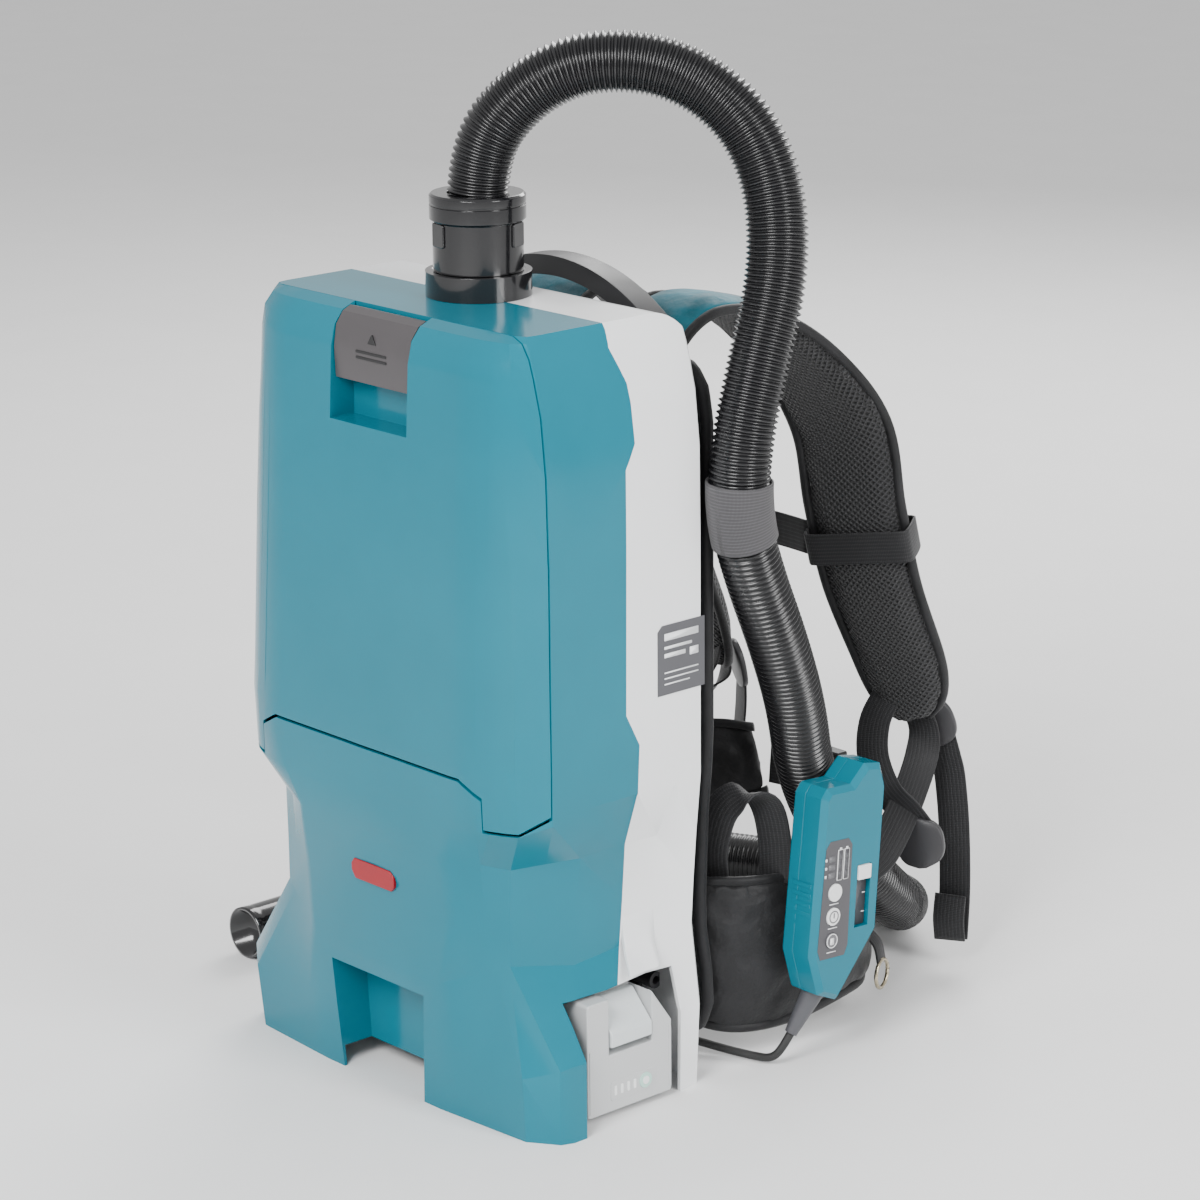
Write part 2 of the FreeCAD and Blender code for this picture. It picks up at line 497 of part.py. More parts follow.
def make_pads():
    keep("back_pad", prism_y(PAD_OUTLINE, PAD_Y0, PAD_Y1))
    shoulder = strip(SHOULDER, SHOULDER_THICK)
    keep("shoulder_pad_right", shoulder)
    keep("shoulder_pad_left", mirrored(shoulder))
    keep("waist_belt_right", strip(BELT_RIGHT, BELT_THICK))
    keep("waist_belt_left", strip(BELT_LEFT, BELT_THICK))


def make_webbing():
    """Straps below the shoulder pads. The left ones pass over the belt's wing, which stands higher there."""
    slant_left = (-SLANT[0], SLANT[1], SLANT[2])
    chest_left = (-CHEST[0], CHEST[1], CHEST[2])
    right = [
        strip([((105, 351, 172), 25, SLANT), ((117, 325, 150), 25, SLANT), ((135, 290, 134), 25, SLANT),
               ((150, 258, 124), 25, SLANT), ((155, 236, 119), 25, SLANT)], WEBBING_THICK),
        strip([((88, 318, 200), 24, CHEST), ((96, 306, 176), 24, CHEST), ((112, 302, 155), 24, CHEST),
               ((126, 309, 140), 24, CHEST)], WEBBING_THICK),
        strip([((107, 368, 168), 24, CHEST), ((112, 371, 150), 24, CHEST), ((116, 373, 110), 24, CHEST),
               ((118, 373, 62), 24, CHEST), ((118, 371, 22), 24, CHEST)], WEBBING_THICK),
        strip([((121, 366, 58), 24, CHEST), ((122, 363, 40), 24, CHEST), ((121, 366, 22), 24, CHEST)], WEBBING_THICK)]
    left = [
        strip([((-105, 351, 172), 25, slant_left), ((-116, 326, 168), 25, slant_left),
               ((-128, 300, 162), 25, slant_left), ((-139, 276, 157), 25, slant_left),
               ((-148, 256, 152), 25, slant_left)], WEBBING_THICK),
        strip([((-88, 318, 200), 24, chest_left), ((-104, 308, 186), 24, chest_left),
               ((-122, 306, 178), 24, chest_left), ((-138, 312, 172), 24, chest_left)], WEBBING_THICK),
        strip([((-107, 368, 168), 24, chest_left), ((-112, 371, 150), 24, chest_left),
               ((-116, 373, 120), 24, chest_left), ((-118, 373, 84), 24, chest_left)], WEBBING_THICK)]
    keep("shoulder_webbing_right", Part.makeCompound(right))
    keep("shoulder_webbing_left", Part.makeCompound(left))

    pull_tab = strip([((103, 358, 208), 26, CHEST), ((106, 366, 194), 32, CHEST), ((107, 368, 176), 26, CHEST)], 5)
    buckle = strip([((136, 313, 131), 30, CHEST), ((141, 314, 116), 36, CHEST), ((143, 312, 102), 26, CHEST)], 7)
    buckle_left = mirrored(buckle)
    buckle_left.translate(V(-14, 2, 36))
    keep("strap_adjusters", Part.makeCompound([pull_tab, mirrored(pull_tab), buckle, buckle_left]))

    chest = strip([((62.5, 270, 343), 25, ALONG_Z), ((40, 272, 343), 25, ALONG_Z), ((16, 273, 343), 25, ALONG_Z)],
                  WEBBING_THICK)
    round_pad = strip([(centre, width + 4, across) for centre, width, across in SHOULDER], SHOULDER_THICK + 4)
    pad_room = strip([(centre, width + 1, across) for centre, width, across in SHOULDER], SHOULDER_THICK + 1)
    pad_loop = round_pad.cut(pad_room).common(box(0, 200, 200, 400, 330.5, 355.5))
    keep("sternum_strap", both_sides(chest.fuse(pad_loop)))

    belt_end_right = strip([((119, 271, 45), 38, ALONG_Z), ((104, 277, 42), 38, ALONG_Z),
                            ((91, 279, 40), 38, ALONG_Z)],
                           WEBBING_THICK)
    belt_end_left = strip([((-57, 352, 126), 38, ALONG_Z), ((-42, 357, 125), 38, ALONG_Z),
                           ((-27, 359, 124), 38, ALONG_Z)], WEBBING_THICK)
    chest_buckle = box(-15.5, 15.5, 267, 279, 324, 362).cut(box(-9, 9, 270, 276, 330, 356))
    belt_tongue = box(54, 87.5, 273, 285, 17, 63).cut(box(62, 78, 276, 282, 24, 56))
    belt_socket = box(-25.5, 14, 353, 365, 101, 147).cut(box(-16, 4, 356, 362, 108, 140))
    keep("belt_webbing", Part.makeCompound([belt_end_right, belt_end_left]))
    keep("strap_buckles", Part.makeCompound([chest_buckle, belt_tongue, belt_socket]))

    loop = strip([((114, 124, 129), 25, (1, 0.5, 0)), ((117, 120, 155), 25, (1, 0.5, 0)),
                  ((124, 124, 184), 25, (1, 0.5, 0)), ((134, 136, 195), 25, (1, 0.5, 0)),
                  ((141, 150, 186), 25, (1, 0.5, 0)), ((144, 156, 160), 25, (1, 0.5, 0)),
                  ((144, 158, 127), 25, (1, 0.5, 0))], WEBBING_THICK)
    loop_left = mirrored(loop)
    loop_left.translate(V(0, 0, 8))
    keep("stabiliser_loops", Part.makeCompound([loop, loop_left]))


def make_hardware():
    """The band that ties the hose to the back pad, and the belt's metal ring on its tab."""
    band = rounded_tube(HOSE_ROUTE[9:12], HOSE_R + 3.6, HOSE_R + 1.6).common(box(100, 200, 60, 160, *BAND_SPAN))
    tongue = box(PAD_EDGE_X + 0.5, HOSE_ROUTE[10][0] - HOSE_R - 2, PAD_Y1 - 1.5, PAD_Y1 + 0.5, *BAND_SPAN)
    keep("hose_band", band.fuse(tongue))
    ring = Part.makeTorus(10.5, 1.5, V(150, 262, 31), V(0.75, 0.66, 0))
    tab = strip([((145.5, 259, 62), 14, (0.66, -0.75, 0)), ((148, 261.5, 52), 14, (0.66, -0.75, 0)),
                 ((148.5, 262, 44.5), 14, (0.66, -0.75, 0))], 2)
    keep("d_ring", Part.makeCompound([ring, tab]))


# ---------------------------------------------------------------- control box
# Outlines of (y, z) about the box's centre, seen from the outside.
BOX_OUTLINE = [(-38, -50), (-27, -80), (-8, -87), (28, -40), (29, 66), (23, 82), (7, 84), (-6, 71), (-29, 71),
               (-34, 64)]
PANEL_OUTLINE = [(-33, -46), (-30, -53), (-6, -53), (-3, -46), (-4, 28), (-8, 33), (-26, 33), (-30, 28)]
BUTTONS = [("mode_button", -19, -5, BUTTON_R), ("power_button", -19.5, -22.5, BUTTON_R),
           ("gauge_button", -20, -40, BUTTON_R - 1)]


def to_box(shape):
    """From the box's own axes (x outwards, y across, z along it) to its place."""
    placed = shape.copy()
    placed.rotate(V(0, 0, 0), V(1, 0, 0), BOX_TILT)
    placed.translate(V(0, BOX_Y, BOX_Z))
    return placed


def make_control_box():
    split_x = BOX_X0 + 13
    front = prism_x(BOX_OUTLINE, split_x + 0.2, BOX_X1)
    rim = [e for e in front.Edges if e.BoundBox.XMin > BOX_X1 - 0.1]
    front = front.makeChamfer(4, rim)
    hollow = prism_x([(y * 0.88, z * 0.95) for y, z in BOX_OUTLINE], split_x - 1, BOX_X1 - 5.5)
    front = front.cut(hollow)
    rear = prism_x(BOX_OUTLINE, BOX_X0, split_x)
    rear = rear.makeChamfer(3, [e for e in rear.Edges if e.BoundBox.XMax < BOX_X0 + 0.1])
    rear = rear.cut(prism_x([(y * 0.88, z * 0.95) for y, z in BOX_OUTLINE], BOX_X0 + 2.5, split_x + 1))
    panel_x0, panel_x1 = BOX_X1 - 1.0, BOX_X1 + 0.3
    front = front.cut(prism_x(PANEL_OUTLINE, panel_x0, BOX_X1 + 1))
    panel = prism_x(PANEL_OUTLINE, panel_x0, panel_x1)
    slot = box(BOX_X1 - 4, BOX_X1 + 5, 3, 16.5, -35, 11)
    front = front.cut(slot)
    lever = box(BOX_X1 - 3.6, BOX_X1 + 1.6, 3.4, 16.1, 0, 10.6)
    for name, y, z, radius in BUTTONS:
        hole = cylinder(radius + 0.3, (BOX_X1 - 10, y, z), (1, 0, 0), 20)
        front = front.cut(hole)
        panel = panel.cut(hole)
        keep(name, to_box(cylinder(radius, (BOX_X1 - 4, y, z), (1, 0, 0), 5.3)))
    keep("control_box_front", to_box(front))
    keep("control_box_rear", to_box(rear))
    keep("control_panel", to_box(panel))
    keep("control_lever", to_box(lever))
    clip = box(BOX_X0 - 6, BOX_X0 - 0.3, -11, 11, -40, 44).cut(box(BOX_X0 - 4, BOX_X0, -12, 12, -41, 36))
    keep("belt_clip", to_box(clip))
    relief_top, relief_tip = V(179, 164, 58), V(*CABLE_ROUTE[0])
    along = relief_tip.sub(relief_top)
    relief = Part.makeCone(8.5, 4.5, along.Length, relief_top, along)
    keep("cable_relief", relief.cut(to_box(prism_x(BOX_OUTLINE, BOX_X0, BOX_X1))))
    keep("control_cable", rounded_tube(CABLE_ROUTE, CABLE_R))


# ---------------------------------------------------------------- hose
def make_hose():
    keep("hose", rounded_tube(HOSE_ROUTE, HOSE_R, HOSE_R - HOSE_WALL))
    end_x, end_y, end_z = HOSE_ROUTE[-1]
    keep("hose_end_pipe", tube(HOSE_R, HOSE_R - 2, (end_x, end_y - PIPE_LENGTH, end_z), (0, 1, 0), PIPE_LENGTH))


make_housings()
make_latch()
make_inlet()
make_bag_chamber()
make_motor()
make_batteries()
make_base()
make_fittings()
make_pads()
make_webbing()
make_hardware()
make_control_box()
make_hose()

os.makedirs("parts", exist_ok=True)
for name, shape in PARTS.items():
    if not shape.isValid():
        print("NOT VALID", name)
    print(name, len(shape.Solids), "solids", round(shape.Volume / 1000, 1), "cm3")
    shape.exportStep("parts/%s.step" % name)
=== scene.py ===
import math

import bmesh
import bpy
import numpy as np
from mathutils import Matrix, Vector
from mathutils.interpolate import poly_3d_calc


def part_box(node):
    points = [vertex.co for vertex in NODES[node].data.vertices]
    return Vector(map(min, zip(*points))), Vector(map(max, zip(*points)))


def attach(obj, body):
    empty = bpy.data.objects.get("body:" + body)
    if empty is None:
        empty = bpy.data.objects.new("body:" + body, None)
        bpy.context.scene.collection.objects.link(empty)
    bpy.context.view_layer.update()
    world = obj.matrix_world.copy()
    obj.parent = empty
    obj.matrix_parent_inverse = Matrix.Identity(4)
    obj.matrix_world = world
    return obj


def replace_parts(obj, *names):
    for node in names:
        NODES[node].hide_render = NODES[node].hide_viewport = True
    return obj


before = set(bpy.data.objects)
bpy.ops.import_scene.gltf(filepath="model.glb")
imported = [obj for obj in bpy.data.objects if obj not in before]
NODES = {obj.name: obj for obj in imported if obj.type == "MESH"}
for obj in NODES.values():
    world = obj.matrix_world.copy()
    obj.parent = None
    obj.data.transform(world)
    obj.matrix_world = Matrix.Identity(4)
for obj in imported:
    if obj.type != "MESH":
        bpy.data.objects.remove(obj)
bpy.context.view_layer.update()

SCENE = bpy.context.scene
MM = 0.001

# Colours, linear
TEAL = (0.000, 0.150, 0.212)
WHITE = (0.80, 0.81, 0.82)
LATCH_GREY = (0.060, 0.055, 0.058)
BAND_GREY = (0.085, 0.082, 0.088)
LABEL_GREY = (0.070, 0.070, 0.078)
BATTERY_GREY = (0.50, 0.51, 0.515)
BLACK = (0.006, 0.006, 0.007)
RED = (0.30, 0.002, 0.010)

# Camera: azimuth, elevation and roll in degrees, place in metres, lens in millimetres
CAMERA_ANGLES = (47.8, 15.9, -0.5)
CAMERA_PLACE = (1.9511, -1.6466, 1.0621)
CAMERA_LENS = 114.86


# ---- camera, floor and light
def make_camera():
    """Camera at the front right, turned a little about its own axis."""
    azimuth, elevation, roll = (math.radians(angle) for angle in CAMERA_ANGLES)
    camera = bpy.data.objects.new("camera", bpy.data.cameras.new("camera"))
    camera.data.lens = CAMERA_LENS
    camera.data.sensor_width = 36
    camera.data.clip_end = 50
    camera.matrix_world = (Matrix.Translation(CAMERA_PLACE) @ Matrix.Rotation(azimuth, 4, "Z")
                           @ Matrix.Rotation(math.pi / 2 - elevation, 4, "X") @ Matrix.Rotation(roll, 4, "Z"))
    SCENE.collection.objects.link(camera)
    SCENE.camera = camera


def make_light(name, place, target, size, energy):
    """Soft rectangular lamp at place, pointed at target."""
    data = bpy.data.lights.new(name, "AREA")
    data.shape = "RECTANGLE"
    data.size, data.size_y = size
    data.energy = energy
    light = bpy.data.objects.new(name, data)
    light.location = place
    light.rotation_euler = (Vector(target) - Vector(place)).to_track_quat("-Z", "Y").to_euler()
    SCENE.collection.objects.link(light)


def make_surroundings():
    """Pale floor under an even white sky and three soft lamps."""
    world = bpy.data.worlds.new("studio")
    world.use_nodes = True
    set_sockets(world.node_tree.nodes["Background"], {"Color": (1, 1, 1, 1), "Strength": 0.78})
    SCENE.world = world
    make_light("key", (1.0, -2.4, 2.2), (0, 0, 0.35), (1.3, 1.3), 118)
    make_light("side", (2.6, 0.3, 1.6), (0, 0.1, 0.35), (0.8, 2.0), 62)
    make_light("back", (-1.2, 2.2, 1.9), (0, 0.1, 0.4), (1.6, 1.4), 55)
    size = 9.0
    corners = [(-size, -size, 0), (size, -size, 0), (size, size, 0), (-size, size, 0)]
    mesh = bpy.data.meshes.new("floor")
    mesh.from_pydata(corners, [], [(0, 1, 2, 3)])
    floor = bpy.data.objects.new("floor", mesh)
    SCENE.collection.objects.link(floor)
    floor.data.materials.append(plastic("floor_paper", (0.86, 0.86, 0.86), 0.75, spread=0.01, grain=0.0))


# ---- materials
def new_material(name):
    """Material with its node tree and its shader."""
    material = bpy.data.materials.new(name)
    material.use_nodes = True
    tree = material.node_tree
    return material, tree, tree.nodes["Principled BSDF"]


def set_sockets(node, values):
    """Sets some of a node's input sockets, by name."""
    for name, value in values.items():
        node.inputs[name].default_value = value


def noise(tree, coordinates, scale, detail=3.0):
    """Cloudy value between 0 and 1."""
    node = tree.nodes.new("ShaderNodeTexNoise")
    set_sockets(node, {"Scale": scale, "Detail": detail})
    tree.links.new(coordinates, node.inputs["Vector"])
    return node.outputs["Fac"]


def paint(tree, shader, value, low, high, first, second):
    """Base colour that goes from first where value is low to second where it is high."""
    node = tree.nodes.new("ShaderNodeValToRGB")
    node.color_ramp.elements[0].position = low
    node.color_ramp.elements[1].position = high
    node.color_ramp.elements[0].color = (*first, 1)
    node.color_ramp.elements[1].color = (*second, 1)
    tree.links.new(value, node.inputs["Fac"])
    tree.links.new(node.outputs["Color"], shader.inputs["Base Color"])


def map_range(tree, value, low, high):
    """Spreads a value between 0 and 1 over low to high."""
    node = tree.nodes.new("ShaderNodeMapRange")
    set_sockets(node, {"To Min": low, "To Max": high})
    tree.links.new(value, node.inputs["Value"])
    return node.outputs["Result"]


def bump(tree, shader, height, distance, strength=1.0, below=None):
    """Bumps up to distance high, in metres, over those of the bump below."""
    node = tree.nodes.new("ShaderNodeBump")
    set_sockets(node, {"Distance": distance, "Strength": strength})
    tree.links.new(height, node.inputs["Height"])
    if below is not None:
        tree.links.new(below, node.inputs["Normal"])
    tree.links.new(node.outputs["Normal"], shader.inputs["Normal"])
    return node.outputs["Normal"]


def object_coordinates(tree):
    """The object's own coordinates, in metres."""
    return tree.nodes.new("ShaderNodeTexCoord").outputs["Object"]


def shade(colour, factor):
    """Colour made darker or lighter by a factor."""
    return tuple(min(1.0, c * factor) for c in colour)


def plastic(name, colour, roughness, coat=0.0, spread=0.05, grain=0.15, grain_scale=1400, shine=0.5):
    """Moulded plastic: a little unevenness of colour and gloss, and a fine moulded grain."""
    material, tree, shader = new_material(name)
    place = object_coordinates(tree)
    cloud = noise(tree, place, 9)
    paint(tree, shader, cloud, 0.3, 0.7, shade(colour, 1 - spread), shade(colour, 1 + spread))
    smear = noise(tree, place, 38)
    tree.links.new(map_range(tree, smear, roughness * 0.82, roughness * 1.25), shader.inputs["Roughness"])
    if grain:
        fine = noise(tree, place, grain_scale, 1)
        bump(tree, shader, fine, 0.00006, grain)
    set_sockets(shader, {"Specular IOR Level": shine, "Coat Weight": coat, "Coat Roughness": 0.06})
    return material


def metal(name, colour, roughness, stretch=(1, 1, 40)):
    """Brushed or drawn metal."""
    material, tree, shader = new_material(name)
    mapping = tree.nodes.new("ShaderNodeMapping")
    set_sockets(mapping, {"Scale": stretch})
    tree.links.new(object_coordinates(tree), mapping.inputs["Vector"])
    lines = noise(tree, mapping.outputs["Vector"], 60, 4)
    paint(tree, shader, lines, 0.3, 0.7, shade(colour, 0.85), shade(colour, 1.1))
    tree.links.new(map_range(tree, lines, roughness * 0.8, roughness * 1.3), shader.inputs["Roughness"])
    bump(tree, shader, lines, 0.00004, 0.4)
    set_sockets(shader, {"Metallic": 1.0})
    return material


def cloth_coordinates(tree):
    """The piece's own coordinates: across and along, in metres."""
    cloth = tree.nodes.new("ShaderNodeAttribute")
    cloth.attribute_name = "cloth"
    split = tree.nodes.new("ShaderNodeSeparateXYZ")
    tree.links.new(cloth.outputs["Vector"], split.inputs["Vector"])
    return split.outputs["X"], split.outputs["Y"]


def calculate(tree, operation, first, second=None):
    """One arithmetic step. first and second are sockets or numbers."""
    node = tree.nodes.new("ShaderNodeMath")
    node.operation = operation
    for socket, value in zip(node.inputs, (first, second)):
        if isinstance(value, (int, float)):
            socket.default_value = value
        elif value is not None:
            tree.links.new(value, socket)
    return node.outputs[0]


def spacer_mesh(name, colour, pitch=0.0047):
    """Spacer mesh: rows of diamond-shaped holes in a knitted face, with the holes painted nearly black as
    painted shade.
    """
    material, tree, shader = new_material(name)
    across, along = cloth_coordinates(tree)
    turns = math.pi / pitch
    waves = []
    for operation in ("ADD", "SUBTRACT"):
        slant = calculate(tree, operation, across, along)
        wave = calculate(tree, "SINE", calculate(tree, "MULTIPLY", slant, turns))
        waves.append(calculate(tree, "ABSOLUTE", wave))
    hole = calculate(tree, "MULTIPLY", waves[0], waves[1])
    # Painted shade: the holes are painted far darker than the knit around them, standing in for the shade
    # inside them.
    paint(tree, shader, hole, 0.48, 0.66, colour, shade(colour, 0.08))
    knit = noise(tree, object_coordinates(tree), 2600, 2)
    soft = bump(tree, shader, knit, 0.0002, 0.5)
    solid = calculate(tree, "SUBTRACT", 1.0, hole)
    bump(tree, shader, solid, 0.0016, 1.0, below=soft)
    set_sockets(shader, {"Roughness": 0.6, "Specular IOR Level": 0.35, "Sheen Weight": 0.12})
    return material


def nylon(name, colour, wrinkle=1.0, crease_shade=0.5):
    """Woven nylon over foam, with a fine weave and shallow creases, and painted shade in the hollows of the
    creases and a painted highlight on their crowns.
    """
    material, tree, shader = new_material(name)
    place = object_coordinates(tree)
    crease = noise(tree, place, 26, 5)
    # Painted shade and painted highlight: the colour follows the crease height, darker in the hollows and
    # lighter on the crowns.
    paint(tree, shader, crease, 0.35, 0.7, shade(colour, 1 - 0.8 * crease_shade), shade(colour, 1 + 1.2 * crease_shade))
    tree.links.new(map_range(tree, crease, 0.42, 0.62), shader.inputs["Roughness"])
    weave = tree.nodes.new("ShaderNodeTexBrick")
    set_sockets(weave, {"Scale": 520, "Mortar Size": 0.04})
    tree.links.new(place, weave.inputs["Vector"])
    fine = bump(tree, shader, weave.outputs["Fac"], 0.00015, 0.5)
    bump(tree, shader, crease, 0.010 * wrinkle, 0.8, below=fine)
    set_sockets(shader, {"Specular IOR Level": 0.3, "Sheen Weight": 0.08})
    return material


def webbing(name, colour, rib=0.0013):
    """Ribbed webbing, drawn along the strip's own coordinates, with painted shade in the grooves between the
    ribs and a painted highlight on their tops.
    """
    material, tree, shader = new_material(name)
    ribs = []
    for value, pitch in zip(cloth_coordinates(tree), (rib * 2.2, rib)):
        turns = calculate(tree, "MULTIPLY", value, 2 * math.pi / pitch)
        ribs.append(map_range(tree, calculate(tree, "SINE", turns), 0.5, 1.0))
    both = calculate(tree, "MULTIPLY", ribs[0], ribs[1])
    # Painted shade and painted highlight: the colour follows the rib height, darker in the grooves and
    # lighter on the rib tops.
    paint(tree, shader, both, 0.25, 1.0, shade(colour, 0.45), shade(colour, 1.35))
    bump(tree, shader, both, 0.0004, 0.9)
    set_sockets(shader, {"Roughness": 0.55, "Specular IOR Level": 0.35, "Sheen Weight": 0.12})
    return material


# ---- mesh helpers
def add_object(name, vertices, faces, material, body="body", smooth=True):
    """Mesh object of one material that rides on a body."""
    mesh = bpy.data.meshes.new(name)
    mesh.from_pydata([tuple(v) for v in vertices], [], faces)
    mesh.materials.append(material)
    for polygon in mesh.polygons:
        polygon.use_smooth = smooth
    mesh.update()
    obj = bpy.data.objects.new(name, mesh)
    SCENE.collection.objects.link(obj)
    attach(obj, body)
    return obj


def face_outward(obj):
    """Turns every face of a closed mesh outward."""
    mesh = bmesh.new()
    mesh.from_mesh(obj.data)
    bmesh.ops.recalc_face_normals(mesh, faces=mesh.faces)
    mesh.to_mesh(obj.data)
    mesh.free()


def set_cloth(obj, places):
    """Stores each vertex's place on the cloth, across and along in metres, for the cloth's pattern."""
    attributes = obj.data.attributes
    cloth = attributes.get("cloth") or attributes.new("cloth", "FLOAT_VECTOR", "POINT")
    cloth.data.foreach_set("vector", np.array(places, np.float32).ravel())


def side_faces(rings, sides, flip=False, closed=False):
    """Faces between neighbouring rings of vertices. A closed row of rings joins its last to its first."""
    faces = []
    for i in range(rings if closed else rings - 1):
        near, far = i * sides, (i + 1) % rings * sides
        for k in range(sides):
            n = (k + 1) % sides
            quad = (near + k, far + k, far + n, near + n)
            faces.append((quad[0], *reversed(quad[1:])) if flip else quad)
    return faces


def tube_faces(rings, sides, flip=False):
    """Faces of a row of rings of vertices with both ends covered."""
    first = tuple(range(sides))
    last = tuple(range((rings - 1) * sides, rings * sides))
    ends = [first[::-1], last] if flip else [first, last[::-1]]
    return side_faces(rings, sides, flip) + ends


def finish_edges(obj, width, segments=2, angle=28):
    """Rounds an object's hard edges, keeping its flat faces flat to look at."""
    bevel = obj.modifiers.new("edges", "BEVEL")
    bevel.width = width
    bevel.segments = segments
    bevel.limit_method = "ANGLE"
    bevel.angle_limit = math.radians(angle)
    bevel.use_clamp_overlap = True
    bevel.harden_normals = False
    normals = obj.modifiers.new("normals", "WEIGHTED_NORMAL")
    normals.keep_sharp = False
    normals.weight = 60


def spline_points(name, route, spacing):
    """Evenly spaced points along the NURBS spline whose control points are the route, and its length."""
    curve = bpy.data.curves.new(name, "CURVE")
    curve.dimensions = "3D"
    curve.resolution_u = 24
    spline = curve.splines.new("NURBS")
    spline.points.add(len(route) - 1)
    for point, place in zip(spline.points, route):
        point.co = (*place, 1)
    spline.order_u = 3
    spline.use_endpoint_u = True
    holder = bpy.data.objects.new(name, curve)
    SCENE.collection.objects.link(holder)
    mesh = bpy.data.meshes.new_from_object(holder)
    raw = np.array([v.co for v in mesh.vertices], float).reshape(-1, 3)
    bpy.data.objects.remove(holder)
    bpy.data.meshes.remove(mesh)
    bpy.data.curves.remove(curve)
    points, at = resample(raw, spacing)
    return points, at[-1]


def resample(rows, spacing):
    """Rows of numbers spaced evenly by their first three, which are a place, and the distances along."""
    steps = np.linalg.norm(np.diff(rows[:, :3], axis=0), axis=1)
    rows = rows[np.concatenate([[True], steps > 1e-7])]
    run = np.concatenate([[0], np.cumsum(np.linalg.norm(np.diff(rows[:, :3], axis=0), axis=1))])
    count = max(3, int(round(run[-1] / spacing)) + 1)
    at = np.linspace(0, run[-1], count)
    return np.stack([np.interp(at, run, column) for column in rows.T], 1), at


def smooth_route(points, spacing):
    """Catmull-Rom curve through rows of numbers, evenly spaced by the first three."""
    rows = np.array(points, float)
    padded = np.vstack([2 * rows[0] - rows[1], rows, 2 * rows[-1] - rows[-2]])
    out = []
    for i in range(1, len(padded) - 2):
        a, b, c, d = padded[i - 1:i + 3]
        for t in np.linspace(0, 1, 12, endpoint=False):
            out.append(0.5 * (2 * b + (c - a) * t + (2 * a - 5 * b + 4 * c - d) * t ** 2
                              + (3 * b - a - 3 * c + d) * t ** 3))
    out.append(rows[-1])
    return resample(np.array(out), spacing)


def frames_along(path):
    """Tangent and two normals at each point, turning as little as possible."""
    tangents = np.gradient(path, axis=0)
    tangents /= np.linalg.norm(tangents, axis=1)[:, None]
    start = np.array([0.0, 0, 1]) if abs(tangents[0][2]) < 0.9 else np.array([1.0, 0, 0])
    normal = np.cross(tangents[0], start)
    normals = []
    for tangent in tangents:
        normal = normal - tangent * normal.dot(tangent)
        normal /= np.linalg.norm(normal)
        normals.append(normal)
    normals = np.array(normals)
    return tangents, normals, np.cross(tangents, normals)


def round_sweep(name, path, radii, sides, material, bore=None):
    """Tube along a path with a radius at each point. A bore opens both its ends, a few points deep."""
    _, first, second = frames_along(path)
    angles = np.linspace(0, 2 * math.pi, sides, endpoint=False)

    def ring(i, radius):
        return path[i] + radius * (np.outer(np.cos(angles), first[i]) + np.outer(np.sin(angles), second[i]))

    rings = [ring(i, radius) for i, radius in enumerate(radii)]
    if bore:
        deep = min(8, len(path) - 1)
        rings = [ring(deep, bore), ring(0, bore)] + rings + [ring(-1, bore), ring(-1 - deep, bore)]
    return add_object(name, np.concatenate(rings), tube_faces(len(rings), sides, flip=True), material)


# Sections of flat webbing and of rolled tape
FLAT_SECTION = [(-1, -0.35), (-0.985, -0.85), (-0.94, -1), (0, -1), (0.94, -1), (0.985, -0.85), (1, -0.35),
                (1, 0.35), (0.985, 0.85), (0.94, 1), (0, 1), (-0.94, 1), (-0.985, 0.85), (-1, 0.35)]
ROUND_SECTION = [(math.cos(math.pi * k / 6), math.sin(math.pi * k / 6)) for k in range(12)]


def strip(name, route, thickness, material, section=FLAT_SECTION, spacing=6, share=0, width=None):
    """Cloth strip through stations (x, y, z, width, across x, y, z) in millimetres. The section is a closed
    list of (share of the half width, share of the half thickness). A share of the half width moves the strip
    sideways, and a width replaces that of the stations."""
    rows, at = smooth_route(route, spacing)
    path, widths, across = rows[:, :3] * MM, rows[:, 3] * MM, rows[:, 4:7]
    tangents = np.gradient(path, axis=0)
    tangents /= np.linalg.norm(tangents, axis=1)[:, None]
    across = across - tangents * np.sum(across * tangents, axis=1)[:, None]
    across /= np.linalg.norm(across, axis=1)[:, None]
    out = np.cross(tangents, across)
    path = path + across * (share * widths / 2)[:, None]
    if width:
        widths = np.full(len(path), width * MM)
    vertices, cloth = [], []
    for i in range(len(path)):
        for u, v in section:
            vertices.append(path[i] + across[i] * (u * widths[i] / 2) + out[i] * (v * thickness * MM / 2))
            cloth.append((u * widths[i] / 2, at[i] * MM, 0))
    obj = add_object(name, vertices, tube_faces(len(path), len(section)), material)
    set_cloth(obj, cloth)
    return obj


def prism(name, outline, axis, low, high, material, body="body", edge=0, place=None):
    """Flat-sided piece: an outline extruded along an axis from low to high, all in millimetres."""
    order = {"X": (2, 0, 1), "Y": (0, 2, 1), "Z": (0, 1, 2)}[axis]
    vertices = [Vector([(a, b, c)[i] for i in order]) * MM for c in (low, high) for a, b in outline]
    if place:
        vertices = [place @ v for v in vertices]
    count = len(outline)
    faces = [tuple(reversed(range(count))), tuple(range(count, 2 * count))]
    faces += [(k, (k + 1) % count, count + (k + 1) % count, count + k) for k in range(count)]
    obj = add_object(name, vertices, faces, material, body)
    face_outward(obj)
    if edge:
        finish_edges(obj, edge * MM)
    return obj


